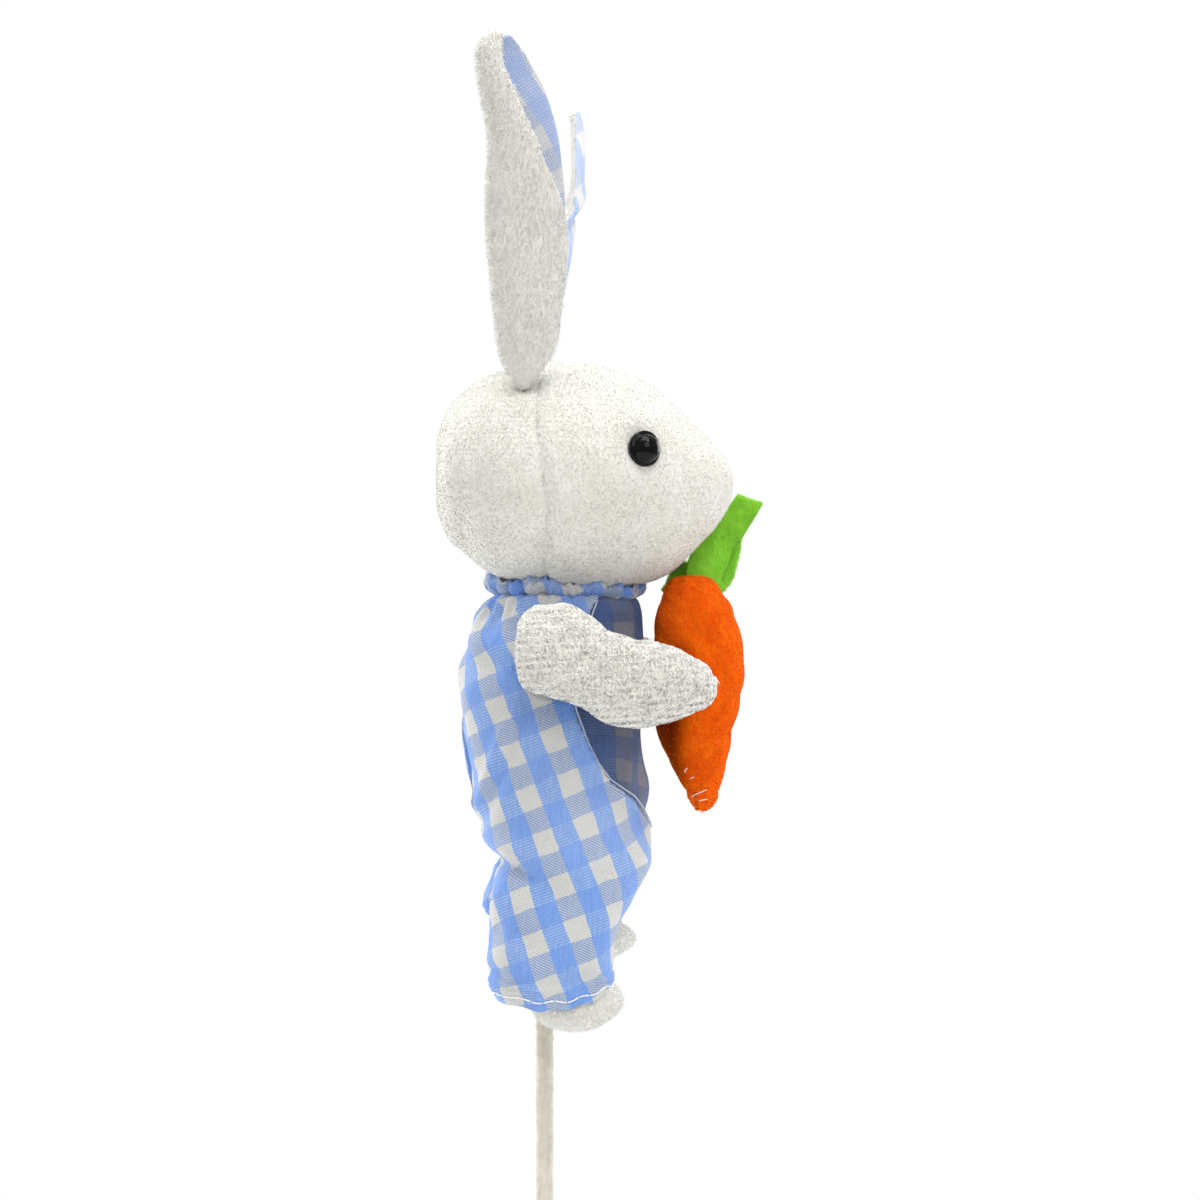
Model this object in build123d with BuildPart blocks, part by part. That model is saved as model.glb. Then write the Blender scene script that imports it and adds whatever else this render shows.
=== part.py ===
from build123d import *
import os
from math import cos, radians, sin

# A plush rabbit pick: a small stuffed rabbit in gingham overalls that hugs a felt carrot,
# carried on a paper-wrapped rod that is pushed into a pot, a wreath or a foam block.
#
# Frame, in millimetres: the origin is the centre of the rod's lower end, +Z runs up the rod,
# the rabbit faces -Y, and its right-hand side is -X.

# ---- Driving dimensions --------------------------------------------------------------------
# Rod
ROD_R = 1.75
WRAP_R = 2.2  # the lower part, which is pushed in, is wound twice
WRAP_LOW = 150.0
UPPER_R = 1.95
ROD_TOP = 289.0

# Head, a body of revolution about a line from the back of the head to the nose
HEAD_BACK = Vector(0, 27.2, 301.5)
HEAD_NOSE = Vector(0, -47.2, 295.5)
HEAD_CENTRE = Vector(0, -8.0, 298.7)
HEAD_HALF_OUTLINE = [  # (distance forward of the head's centre, radius)
    (-34.5, 5.4),
    (-32.2, 12.6),
    (-28.0, 19.2),
    (-18.0, 25.3),
    (-8.0, 27.5),
    (3.0, 28.2),
    (13.0, 25.7),
    (22.5, 20.9),
    (30.5, 14.4),
    (36.0, 8.2),
    (38.6, 3.8),
]
HEAD_BACK_REACH = 35.3
HEAD_NOSE_REACH = 39.3
PLUSH = 1.5  # thickness of the plush cloth with its pile
SEAM_TOP_Y = 3.5  # the seam from ear to neck leans a little forward as it goes down
SEAM_LOW_Y = -1.0

# Ears
EAR_X = 17.0
EAR_Y = 3.5
EAR_Z = 322.0
EAR_ROOT_R = 4.2
EAR_GAP = 0.4
EAR_THICKNESS = 4.6
EAR_LINING_SHARE = 0.28  # part of the thickness taken by the gingham lining
EAR_SECTIONS = [  # (height above the root, half width)
    (1.8, 3.4),
    (9.0, 6.4),
    (20.0, 8.2),
    (36.0, 10.0),
    (50.0, 9.8),
    (64.0, 7.9),
    (76.0, 5.6),
    (83.0, 1.8),
]
EAR_LEAN = {-1: Vector(-0.10, 0.09, 1), 1: Vector(0.36, -0.16, 1)}  # right ear, left ear
EAR_REACH = {-1: 1.0, 1: 0.85}  # share of the full length, as the left ear bends over
EAR_TURN = {-1: 18.0, 1: 75.0}  # degrees that the lining looks forward of straight inwards
EAR_THREAD_R = 0.45

# Eyes
EYE_CENTRE = Vector(23.3, -23.6, 303.6)
EYE_TURN = 32.0  # degrees that the eye looks forward of straight sideways
EYE_RIM_R = 4.5
EYE_RIM_HIGH = 1.0
EYE_DOME_R = 3.8
EYE_SHANK_R = 1.3
EYE_SHANK = 6.5

# Torso and overalls, ellipses round the rod: (height, centre Y, half width X, half depth Y)
TORSO_SECTIONS = [
    (208.0, -5.0, 21.0, 20.5),
    (220.0, -4.6, 22.0, 21.6),
    (235.0, -3.0, 20.0, 22.4),
    (250.0, -2.9, 17.0, 22.7),
    (261.0, -3.6, 15.0, 21.7),
    (266.5, -4.3, 12.0, 19.5),
]
COTTON = 1.0
BAG = 1.0
NECK_R = 8.5
NECK_TOP = 270.0
SIDE_SEAM_Y = -3.0
ARMHOLE_R = 8.0
CUFF_TOP_FRONT = 220.0  # the torso's lower edge, front and back, clear of the swinging legs
CUFF_TOP_BACK = 212.0

# Joints: cords run along X through both shoulders and both hips
CORD_R = 0.6
CORD_GAP = 0.06
KNOT_R = 1.3
KNOT_OUT = 3.0  # the knots sit this far outside the middle of the limb
SHOULDER = Vector(27.0, -3.0, 257.2)
PAW = Vector(20.9, -33.6, 246.1)
ARM_R = 9.3
HIP = Vector(14.0, -4.5, 207.0)
FOOT = Vector(14.0, -8.0, 172.4)
LEG_R = 8.8
TROUSER_HALF_X = 11.0
TROUSER_HALF_Y = 16.0
TROUSER_ROUND = 7.0
TROUSER_LOW_Z = 167.0
LEFT_LEG_LIFT = 9.0  # the left leg is drawn up by this much
HEM_SLOPE = 14.0  # the hem rises towards the front by this angle
LEG_GAP = 0.5
TAB_HALF_X = 2.4

# Carrot
CARROT_TOP = Vector(0, -36.9, 273.5)
CARROT_TIP = Vector(0, -38.9, 216.6)
CARROT_HALF_OUTLINE = [  # (distance down from the top, radius)
    (0.7, 3.6),
    (3.2, 7.4),
    (9.0, 10.4),
    (18.0, 11.3),
    (28.0, 10.7),
    (38.5, 8.9),
    (48.0, 6.3),
    (53.4, 4.2),
    (56.4, 2.0),
]
FELT = 1.2

LEAF_WIDTH = 6.0
LEAF_THICKNESS = 1.0
LEAVES = [  # (name, base, end, direction its broad side looks)
    ("leaf_front", Vector(3.4, -39.6, 271.8), Vector(7.5, -51.6, 292.6), Vector(1, 0, 0)),
    ("leaf_middle", Vector(-0.6, -42.2, 271.6), Vector(-2.0, -47.4, 281.6), Vector(0, 1, 0.5)),
    ("leaf_rear", Vector(-2.0, -38.0, 274.1), Vector(9.5, -33.5, 274.9), Vector(0, 0, 1)),
]

parts_made = {}
SIDES = ((-1, "right"), (1, "left"))


def keep(part, name):
    """Labels a finished piece and writes it."""
    part.label = name
    parts_made[name] = part
    export_step(part, f"parts/{name}.step")


def mirrored(point, side):
    """A point given on the rabbit's left, +X, on the side asked for."""
    return Vector(point.X * side, point.Y, point.Z)


def drill(point, reach, radius):
    """Takes a round hole along X out of the part being built."""
    with Locations(point):
        Cylinder(radius, reach, rotation=(0, 90, 0), mode=Mode.SUBTRACT)


def capsule(start, end, radius):
    """A round-ended bar from one sphere's centre to the other's."""
    line = end - start
    middle = start + line * 0.5
    plane = Plane(origin=middle, x_dir=line, z_dir=line.cross(Vector(1, 0, 0)))
    with BuildPart() as bar:
        with BuildSketch(plane):
            SlotCenterToCenter(line.length, 2 * radius)
            with Locations((0, -radius)):
                Rectangle(2 * line.length + 4 * radius, 2 * radius, mode=Mode.SUBTRACT)
        revolve(axis=Axis(middle, line))
    return bar.part


os.makedirs("parts", exist_ok=True)

# ---- Rod -----------------------------------------------------------------------------------
with BuildPart() as stick_rod:
    Cylinder(ROD_R, ROD_TOP, align=(Align.CENTER, Align.CENTER, Align.MIN))
keep(stick_rod.part, "stick_rod")

with BuildPart() as stick_wrap:
    Cylinder(WRAP_R, WRAP_LOW, align=(Align.CENTER, Align.CENTER, Align.MIN))
    Cylinder(UPPER_R, ROD_TOP, align=(Align.CENTER, Align.CENTER, Align.MIN))
    Cylinder(
        ROD_R,
        ROD_TOP,
        align=(Align.CENTER, Align.CENTER, Align.MIN),
        mode=Mode.SUBTRACT,
    )
keep(stick_wrap.part, "stick_wrap")

# ---- Torso ---------------------------------------------------------------------------------


def trouser_top(side, grow):
    """The round top of a trouser leg, a rounded drum about the hip cord."""
    with BuildPart() as top:
        with Locations(mirrored(HIP, side)):
            Cylinder(TROUSER_HALF_Y + grow, 2 * (TROUSER_HALF_X + grow), rotation=(0, 90, 0))
        fillet(top.edges().filter_by(GeomType.CIRCLE), TROUSER_ROUND + grow)
    return top.part


def torso_solid(inset, low, high):
    """The torso's outer form moved in by inset, between two heights."""
    with BuildPart() as form:
        for z, y, half_x, half_y in TORSO_SECTIONS:
            with BuildSketch(Plane.XY.offset(z)):
                with Locations((0, y)):
                    Ellipse(half_x - inset, half_y - inset)
        loft()
        with Locations((0, 0, (low + high) / 2)):
            Box(80, 80, high - low, mode=Mode.INTERSECT)
    return form.part


# The lower edge slopes, and the two legs' round tops are let into it with a gap all round.
lower_edge = Plane(
    origin=(0, 0, (CUFF_TOP_FRONT + CUFF_TOP_BACK) / 2),
    x_dir=(1, 0, 0),
    z_dir=(0, (CUFF_TOP_FRONT - CUFF_TOP_BACK) / 40, 1),
)
leg_room = [trouser_top(side, LEG_GAP) for side in (-1, 1)]
TORSO_TOP = TORSO_SECTIONS[-1][0]


def finish_torso_piece():
    """Cuts the sloping lower edge, the leg sockets and the cord and rod holes."""
    split(bisect_by=lower_edge, keep=Keep.TOP)
    for room in leg_room:
        add(room, mode=Mode.SUBTRACT)
    Cylinder(
        UPPER_R,
        ROD_TOP,
        align=(Align.CENTER, Align.CENTER, Align.MIN),
        mode=Mode.SUBTRACT,
    )
    drill((0, SHOULDER.Y, SHOULDER.Z), 80, CORD_R)


with BuildPart() as bodice:
    add(torso_solid(0, TORSO_SECTIONS[0][0], TORSO_TOP))
    add(torso_solid(COTTON, TORSO_SECTIONS[0][0], TORSO_TOP), mode=Mode.SUBTRACT)
    finish_torso_piece()
    drill((0, SHOULDER.Y, SHOULDER.Z), 80, ARMHOLE_R)

side_seam = Plane(origin=(0, SIDE_SEAM_Y, 0), z_dir=(0, 1, 0))
with BuildPart() as bodice_back:
    add(bodice.part)
    split(bisect_by=side_seam, keep=Keep.TOP)
keep(bodice_back.part, "overalls_back")

with BuildPart() as bodice_front:
    add(bodice.part)
    split(bisect_by=side_seam, keep=Keep.BOTTOM)
keep(bodice_front.part, "overalls_front")

GLUE_R = 5.0
GLUE_LOW, GLUE_HIGH = 230.0, 236.0
with BuildPart() as rod_glue:
    with Locations((0, 0, (GLUE_LOW + GLUE_HIGH) / 2)):
        Cylinder(GLUE_R, GLUE_HIGH - GLUE_LOW)
        Cylinder(UPPER_R, GLUE_HIGH - GLUE_LOW, mode=Mode.SUBTRACT)
    fillet(rod_glue.edges().filter_by(GeomType.CIRCLE).sort_by(SortBy.RADIUS)[-2:], 1.5)
keep(rod_glue.part, "rod_glue")

with BuildPart() as stuffing:
    add(torso_solid(COTTON + BAG, TORSO_SECTIONS[0][0], TORSO_TOP - BAG))
    finish_torso_piece()
    with Locations((0, 0, (GLUE_LOW + GLUE_HIGH) / 2)):
        Cylinder(GLUE_R, GLUE_HIGH - GLUE_LOW, mode=Mode.SUBTRACT)
keep(stuffing.part, "torso_stuffing")

with BuildPart() as torso_bag:
    add(torso_solid(COTTON, TORSO_SECTIONS[0][0], TORSO_TOP))
    with Locations((0, 0, TORSO_TOP - BAG)):
        Cylinder(
            NECK_R,
            NECK_TOP - TORSO_TOP + BAG,
            align=(Align.CENTER, Align.CENTER, Align.MIN),
        )
    add(
        torso_solid(COTTON + BAG, TORSO_SECTIONS[0][0], TORSO_TOP - BAG),
        mode=Mode.SUBTRACT,
    )
    finish_torso_piece()
keep(torso_bag.part, "torso_bag")

# The crotch tab: a folded strip between the legs, in front of the rod, that holds the hip cord.
with BuildPart() as crotch_tab:
    with Locations((0, HIP.Y - 1.9, HIP.Z + 3)):
        Box(2 * TAB_HALF_X, 7.0, 16.0)
    drill((0, HIP.Y, HIP.Z), 20, CORD_R)
    for room in leg_room:
        add(room, mode=Mode.SUBTRACT)
    Cylinder(
        UPPER_R + 0.2,
        ROD_TOP,
        align=(Align.CENTER, Align.CENTER, Align.MIN),
        mode=Mode.SUBTRACT,
    )
    add(torso_solid(0, TORSO_SECTIONS[0][0], TORSO_TOP).split(lower_edge), mode=Mode.SUBTRACT)
keep(crotch_tab.part, "crotch_tab")

# Neck: a gathering thread and the frill that stands above it
RING_Y = TORSO_SECTIONS[-1][1]
NECK_THREAD_R = 0.45
with BuildPart() as neck_thread:
    with BuildLine(Plane.XY.offset(TORSO_TOP + NECK_THREAD_R)):
        gather_line = EllipticalCenterArc((0, RING_Y), 10.6, 18.0, 0, arc_size=360)
    with BuildSketch(Plane(origin=gather_line @ 0, z_dir=gather_line % 0)):
        Circle(NECK_THREAD_R)
    sweep()
keep(neck_thread.part, "neck_gather_thread")

FRILL_LOW = TORSO_TOP + 2 * NECK_THREAD_R
FRILL_HIGH = 271.2
with BuildPart() as neck_frill:
    for z, half_x, half_y in ((FRILL_LOW, 11.0, 18.4), (FRILL_HIGH, 12.6, 19.8)):
        with BuildSketch(Plane.XY.offset(z)):
            with Locations((0, RING_Y)):
                Ellipse(half_x, half_y)
                Ellipse(half_x - 0.8, half_y - 0.8, mode=Mode.SUBTRACT)
    loft()
keep(neck_frill.part, "neck_frill")

# Cords through the shoulders and the hips, knotted inside the limbs
for name, pivot in (("shoulder_cord", SHOULDER), ("hip_cord", HIP)):
    with BuildPart() as cord:
        with Locations((0, pivot.Y, pivot.Z)):
            Cylinder(CORD_R, 2 * (pivot.X + KNOT_OUT), rotation=(0, 90, 0))
        for side in (-1, 1):
            with Locations((side * (pivot.X + KNOT_OUT), pivot.Y, pivot.Z)):
                Sphere(KNOT_R)
    keep(cord.part, name)

# ---- Head ----------------------------------------------------------------------------------
forward = (HEAD_NOSE - HEAD_BACK).normalized()
head_side = Vector(1, 0, 0) + forward.cross(Vector(1, 0, 0)) * 0.4
head_plane = Plane(origin=HEAD_CENTRE, x_dir=forward, z_dir=head_side)


def head_solid(inset):
    """The head's outer form made smaller all round by inset."""
    shrink = 1 - inset / 28
    with BuildPart() as form:
        with BuildSketch(head_plane):
            with BuildLine():
                back_end = (-HEAD_BACK_REACH * shrink, 0)
                nose_end = (HEAD_NOSE_REACH * shrink, 0)
                middle = [(d * shrink, r * shrink) for d, r in HEAD_HALF_OUTLINE]
                Spline(back_end, *middle, nose_end)
                Line(nose_end, back_end)
            make_face()
        revolve(axis=Axis(HEAD_CENTRE, forward), revolution_arc=180)
        mirror(about=head_plane)
    return form.part


def eye_plane(side):
    """A plane on the cloth under one eye, looking out along the eye."""
    out = (side * cos(radians(EYE_TURN)), -sin(radians(EYE_TURN)), 0)
    return Plane(origin=mirrored(EYE_CENTRE, side), x_dir=(0, 0, 1), z_dir=out)


def eye_solid(side):
    """A safety eye: shank, rim and dome in one moulding."""
    upright = (Align.CENTER, Align.CENTER, Align.MIN)
    with BuildPart(eye_plane(side)) as eye:
        Cylinder(EYE_RIM_R, EYE_RIM_HIGH, align=upright)
        Sphere(EYE_DOME_R, arc_size1=0)
        with Locations((0, 0, -EYE_SHANK)):
            Cylinder(EYE_SHANK_R, EYE_SHANK, align=upright)
    return eye.part


def washer_solid(side):
    """The washer that grips the shank inside the head."""
    with BuildPart() as washer:
        with BuildSketch(eye_plane(side).offset(-PLUSH - 1.8)):
            Circle(EYE_RIM_R)
            Circle(EYE_SHANK_R, mode=Mode.SUBTRACT)
        extrude(amount=-0.9)
    return washer.part


def ear_root(side):
    """The middle of the ear's root, where it hinges."""
    return Vector(side * EAR_X, EAR_Y, EAR_Z)


eyes = {side: eye_solid(side) for side in (-1, 1)}
washers = {side: washer_solid(side) for side in (-1, 1)}
for side, word in SIDES:
    keep(eyes[side], f"eye_{word}")
    keep(washers[side], f"eye_washer_{word}")
    with BuildPart() as ear_thread:
        with Locations((side * (EAR_X - 3.0), EAR_Y, EAR_Z)):
            Cylinder(EAR_THREAD_R, 11.0, rotation=(0, 90, 0))
    keep(ear_thread.part, f"ear_thread_{word}")


def finish_head_piece():
    """Cuts the ear dimples, the eye holes and the rod socket."""
    for side in (-1, 1):
        with Locations(ear_root(side)):
            Sphere(EAR_ROOT_R + EAR_GAP, mode=Mode.SUBTRACT)
        add(eyes[side], mode=Mode.SUBTRACT)
        add(parts_made[f"ear_thread_{dict(SIDES)[side]}"], mode=Mode.SUBTRACT)
    Cylinder(
        UPPER_R + CORD_GAP,
        ROD_TOP + 0.5,
        align=(Align.CENTER, Align.CENTER, Align.MIN),
        mode=Mode.SUBTRACT,
    )


with BuildPart() as head_skin:
    add(head_solid(0))
    add(head_solid(PLUSH), mode=Mode.SUBTRACT)
    finish_head_piece()

seam = Plane(
    origin=(0, (SEAM_TOP_Y + SEAM_LOW_Y) / 2, HEAD_CENTRE.Z),
    x_dir=(1, 0, 0),
    z_dir=(0, 1, -(SEAM_TOP_Y - SEAM_LOW_Y) / 56),
)
with BuildPart() as head_back_panel:
    add(head_skin.part)
    split(bisect_by=seam, keep=Keep.TOP)
keep(head_back_panel.part, "head_back_panel")

for side, word in SIDES:
    with BuildPart() as face_panel:
        add(head_skin.part)
        split(bisect_by=seam, keep=Keep.BOTTOM)
        split(bisect_by=Plane(origin=(0, 0, 0), z_dir=(side, 0, 0)), keep=Keep.TOP)
    keep(face_panel.part, f"face_panel_{word}")

with BuildPart() as head_stuffing:
    add(head_solid(PLUSH))
    finish_head_piece()
    for side in (-1, 1):
        add(washers[side], mode=Mode.SUBTRACT)
keep(head_stuffing.part, "head_stuffing")

with BuildPart() as nose:
    with BuildSketch(Plane(HEAD_NOSE + Vector(0, 4, 2.6), (1, 0, 0), (0, -1, 0.1))):
        Ellipse(2.6, 1.7)
    extrude(amount=4.3)
    add(head_solid(0), mode=Mode.SUBTRACT)
keep(nose.part, "nose_stitching")

# ---- Ears ----------------------------------------------------------------------------------
for side, word in SIDES:
    root = ear_root(side)
    up = EAR_LEAN[side].normalized()
    turn = radians(EAR_TURN[side])
    inward = Vector(-side * cos(turn), -sin(turn), 0)
    across = inward.cross(up).normalized()
    with BuildPart() as ear:
        for height, half_width in EAR_SECTIONS:
            middle = root + up * height * EAR_REACH[side]
            with BuildSketch(Plane(origin=middle, x_dir=across, z_dir=up)):
                Ellipse(half_width, EAR_THICKNESS / 2)
        loft()
    lining_face = Plane(
        origin=root + up.cross(across) * (EAR_THICKNESS * (0.5 - EAR_LINING_SHARE)),
        x_dir=up,
        z_dir=up.cross(across),
    )
    with BuildPart() as lining:
        add(ear.part)
        split(bisect_by=lining_face, keep=Keep.TOP)
        split(bisect_by=Plane(origin=root + up * 8, z_dir=up), keep=Keep.TOP)
    keep(lining.part, f"ear_lining_{word}")
    with BuildPart() as ear_back:
        add(ear.part)
        with Locations(root):
            Sphere(EAR_ROOT_R)
        add(lining.part, mode=Mode.SUBTRACT)
        drill(root, 30, EAR_THREAD_R + CORD_GAP)
    keep(ear_back.part, f"ear_plush_{word}")

# ---- Carrot --------------------------------------------------------------------------------
down = (CARROT_TIP - CARROT_TOP).normalized()
carrot_length = (CARROT_TIP - CARROT_TOP).length
carrot_plane = Plane(origin=CARROT_TOP, x_dir=down, z_dir=(1, 0, 0))


def carrot_solid(inset):
    """The carrot's outer form made smaller all round by inset."""
    shrink = 1 - inset / 9
    with BuildPart() as form:
        with BuildSketch(carrot_plane):
            with BuildLine():
                top = (inset, 0)
                tip = (inset + carrot_length * shrink, 0)
                middle = [(inset + d * shrink, r * shrink) for d, r in CARROT_HALF_OUTLINE]
                Spline(top, *middle, tip)
                Line(tip, top)
            make_face()
        revolve(axis=Axis(CARROT_TOP, down))
    return form.part


with BuildPart() as carrot_felt:
    add(carrot_solid(0))
    add(carrot_solid(FELT), mode=Mode.SUBTRACT)
keep(carrot_felt.part, "carrot_felt")
keep(carrot_solid(FELT), "carrot_stuffing")

with BuildPart() as tip_knot:
    with Locations(CARROT_TIP):
        Sphere(1.3)
    add(carrot_solid(0), mode=Mode.SUBTRACT)
keep(tip_knot.part, "carrot_tip_knot")

for word, base, end, face in LEAVES:
    run = end - base
    with BuildPart() as leaf:
        with BuildSketch(Plane(origin=base, x_dir=run.cross(face), z_dir=run)):
            Rectangle(LEAF_WIDTH, LEAF_THICKNESS)
        extrude(amount=run.length)
        add(carrot_solid(0), mode=Mode.SUBTRACT)
        for other in LEAVES:
            if other[0] in parts_made:
                add(parts_made[other[0]], mode=Mode.SUBTRACT)
    keep(leaf.part.solids().sort_by(SortBy.VOLUME)[-1], word)

# ---- Arms ----------------------------------------------------------------------------------
for side, word in SIDES:
    shoulder = mirrored(SHOULDER, side)
    paw = mirrored(PAW, side)
    knot = shoulder + Vector(side * KNOT_OUT, 0, 0)
    with BuildPart() as arm_plush:
        add(capsule(shoulder, paw, ARM_R))
        add(capsule(shoulder, paw, ARM_R - PLUSH), mode=Mode.SUBTRACT)
        drill(shoulder - Vector(side * 10, 0, 0), 20, CORD_R + CORD_GAP)
    keep(arm_plush.part, f"arm_plush_{word}")
    with BuildPart() as arm_stuffing:
        add(capsule(shoulder, paw, ARM_R - PLUSH))
        drill(shoulder - Vector(side * 8, 0, 0), 2 * (KNOT_OUT + 8), CORD_R + CORD_GAP)
        with Locations(knot):
            Sphere(KNOT_R + 0.4, mode=Mode.SUBTRACT)
    keep(arm_stuffing.part, f"arm_stuffing_{word}")
    touch = Vector(0, (CARROT_TOP.Y + CARROT_TIP.Y) / 2, paw.Z)
    with BuildPart() as paw_glue:
        with BuildSketch(Plane(origin=touch, x_dir=(0, 0, 1), z_dir=paw - touch)):
            Circle(3.0)
        extrude(amount=(paw - touch).length)
        add(carrot_solid(0), mode=Mode.SUBTRACT)
        add(capsule(shoulder, paw, ARM_R), mode=Mode.SUBTRACT)
    keep(paw_glue.part.solids().sort_by(SortBy.VOLUME)[-1], f"paw_glue_{word}")

# ---- Legs ----------------------------------------------------------------------------------
for side, word in SIDES:
    hip = mirrored(HIP, side)
    lift = LEFT_LEG_LIFT if side > 0 else 0
    foot = mirrored(FOOT, side) + Vector(0, 0, lift)
    hem = Plane(
        origin=(hip.X, 0, TROUSER_LOW_Z + lift),
        x_dir=(1, 0, 0),
        z_dir=(0, sin(radians(HEM_SLOPE)), cos(radians(HEM_SLOPE))),
    )
    knot = hip + Vector(side * KNOT_OUT, 0, 0)
    with BuildPart() as trouser_leg:
        for grow in (0, -COTTON):
            mode = Mode.SUBTRACT if grow else Mode.ADD
            with BuildSketch(Plane.XY.offset(TROUSER_LOW_Z - 12 + lift + grow)):
                with Locations((hip.X, hip.Y + 0.7)):
                    Ellipse(TROUSER_HALF_X - 0.2 + grow, TROUSER_HALF_Y - 1 + grow)
            extrude(amount=hip.Z - TROUSER_LOW_Z + 12 - lift, mode=mode)
            add(trouser_top(side, grow), mode=mode)
        split(bisect_by=hem, keep=Keep.TOP)
        drill(hip - Vector(side * 10, 0, 0), 20, CORD_R + CORD_GAP)
    keep(trouser_leg.part, f"trouser_leg_{word}")
    with BuildPart() as leg_plush:
        add(capsule(hip, foot, LEG_R))
        add(capsule(hip, foot, LEG_R - PLUSH), mode=Mode.SUBTRACT)
        drill(hip - Vector(side * 10, 0, 0), 20, CORD_R + CORD_GAP)
    keep(leg_plush.part, f"leg_plush_{word}")
    with BuildPart() as leg_stuffing:
        add(capsule(hip, foot, LEG_R - PLUSH))
        drill(hip - Vector(side * 8, 0, 0), 2 * (KNOT_OUT + 8), CORD_R + CORD_GAP)
        with Locations(knot):
            Sphere(KNOT_R + 0.4, mode=Mode.SUBTRACT)
    keep(leg_stuffing.part, f"leg_stuffing_{word}")

for name, part in parts_made.items():
    box = part.bounding_box()
    print(name, len(part.solids()), round(part.volume), box.min, box.max)
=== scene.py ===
import math

import bpy
import numpy as np
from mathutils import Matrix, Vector


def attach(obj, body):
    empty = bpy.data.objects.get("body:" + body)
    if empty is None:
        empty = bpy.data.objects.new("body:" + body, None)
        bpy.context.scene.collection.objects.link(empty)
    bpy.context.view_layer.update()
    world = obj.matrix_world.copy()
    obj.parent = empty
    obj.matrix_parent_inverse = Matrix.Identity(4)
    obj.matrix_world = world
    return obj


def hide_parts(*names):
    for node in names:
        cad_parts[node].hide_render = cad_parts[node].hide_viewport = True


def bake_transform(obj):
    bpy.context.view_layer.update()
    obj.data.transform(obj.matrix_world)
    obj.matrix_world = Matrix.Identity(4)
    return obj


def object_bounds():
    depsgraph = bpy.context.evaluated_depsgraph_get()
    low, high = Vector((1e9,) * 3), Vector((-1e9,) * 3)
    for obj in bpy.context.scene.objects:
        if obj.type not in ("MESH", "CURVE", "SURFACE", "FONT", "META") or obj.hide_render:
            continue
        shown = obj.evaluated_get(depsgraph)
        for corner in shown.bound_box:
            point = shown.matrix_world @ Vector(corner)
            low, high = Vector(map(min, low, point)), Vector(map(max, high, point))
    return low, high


# A plush rabbit pick in gingham overalls with a felt carrot. Shapes are written in millimetres in
# the row frame: +Z up the rod from its lower end, the rabbit faces -Y, its right side is -X.

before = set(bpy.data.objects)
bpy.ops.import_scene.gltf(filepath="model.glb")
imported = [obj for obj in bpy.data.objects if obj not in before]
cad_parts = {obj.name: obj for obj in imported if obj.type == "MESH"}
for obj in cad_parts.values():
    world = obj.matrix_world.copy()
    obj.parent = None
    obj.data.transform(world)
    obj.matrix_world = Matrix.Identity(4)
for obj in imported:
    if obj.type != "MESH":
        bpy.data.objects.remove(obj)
cad_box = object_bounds()
MM = 0.001

# ---- Camera, world and lights --------------------------------------------------------------
VIEW_Y, VIEW_Z, VIEW_WIDTH, VIEW_AWAY = -13.5, 268.1, 292.8, 1150.0
camera = bpy.data.objects.new("camera", bpy.data.cameras.new("camera"))
bpy.context.scene.collection.objects.link(camera)
camera.location = (-VIEW_AWAY * MM, VIEW_Y * MM, VIEW_Z * MM)
camera.rotation_euler = (math.radians(90), 0, math.radians(-90))
camera.data.sensor_width = 36
camera.data.lens = 36 * VIEW_AWAY / VIEW_WIDTH
bpy.context.scene.camera = camera
bpy.context.scene.view_settings.view_transform = "Standard"


def area_light(name, place, aim, size, watts, colour=(1, 1, 1)):
    """A soft light, wide and tall, at a place in metres, turned to look at a point."""
    lamp = bpy.data.lights.new(name, "AREA")
    lamp.shape = "RECTANGLE"
    lamp.size, lamp.size_y = size
    lamp.energy, lamp.color = watts, colour
    ob = bpy.data.objects.new(name, lamp)
    bpy.context.scene.collection.objects.link(ob)
    ob.location = place
    ob.rotation_euler = (Vector(aim) - Vector(place)).to_track_quat("-Z", "Y").to_euler()


def white_surroundings():
    """A white world that lights softly."""
    world = bpy.data.worlds.new("surroundings")
    bpy.context.scene.world = world
    world.use_nodes = True
    tree = world.node_tree
    tree.nodes.clear()
    seen = tree.nodes.new("ShaderNodeBackground")
    seen.inputs["Color"].default_value = (1, 1, 1, 1)
    soft = tree.nodes.new("ShaderNodeBackground")
    soft.inputs["Color"].default_value = (1.0, 0.985, 0.95, 1)
    where = tree.nodes.new("ShaderNodeTexCoord")
    height = tree.nodes.new("ShaderNodeSeparateXYZ")
    level = tree.nodes.new("ShaderNodeMapRange")
    level.inputs["From Min"].default_value = -1.0
    level.inputs["To Min"].default_value, level.inputs["To Max"].default_value = WORLD_LIGHT
    tree.links.new(where.outputs["Generated"], height.inputs[0])
    tree.links.new(height.outputs[2], level.inputs["Value"])
    tree.links.new(level.outputs[0], soft.inputs["Strength"])
    path = tree.nodes.new("ShaderNodeLightPath")
    either = tree.nodes.new("ShaderNodeMixShader")
    out = tree.nodes.new("ShaderNodeOutputWorld")
    tree.links.new(path.outputs["Is Camera Ray"], either.inputs[0])
    tree.links.new(soft.outputs[0], either.inputs[1])
    tree.links.new(seen.outputs[0], either.inputs[2])
    tree.links.new(either.outputs[0], out.inputs[0])


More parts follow.
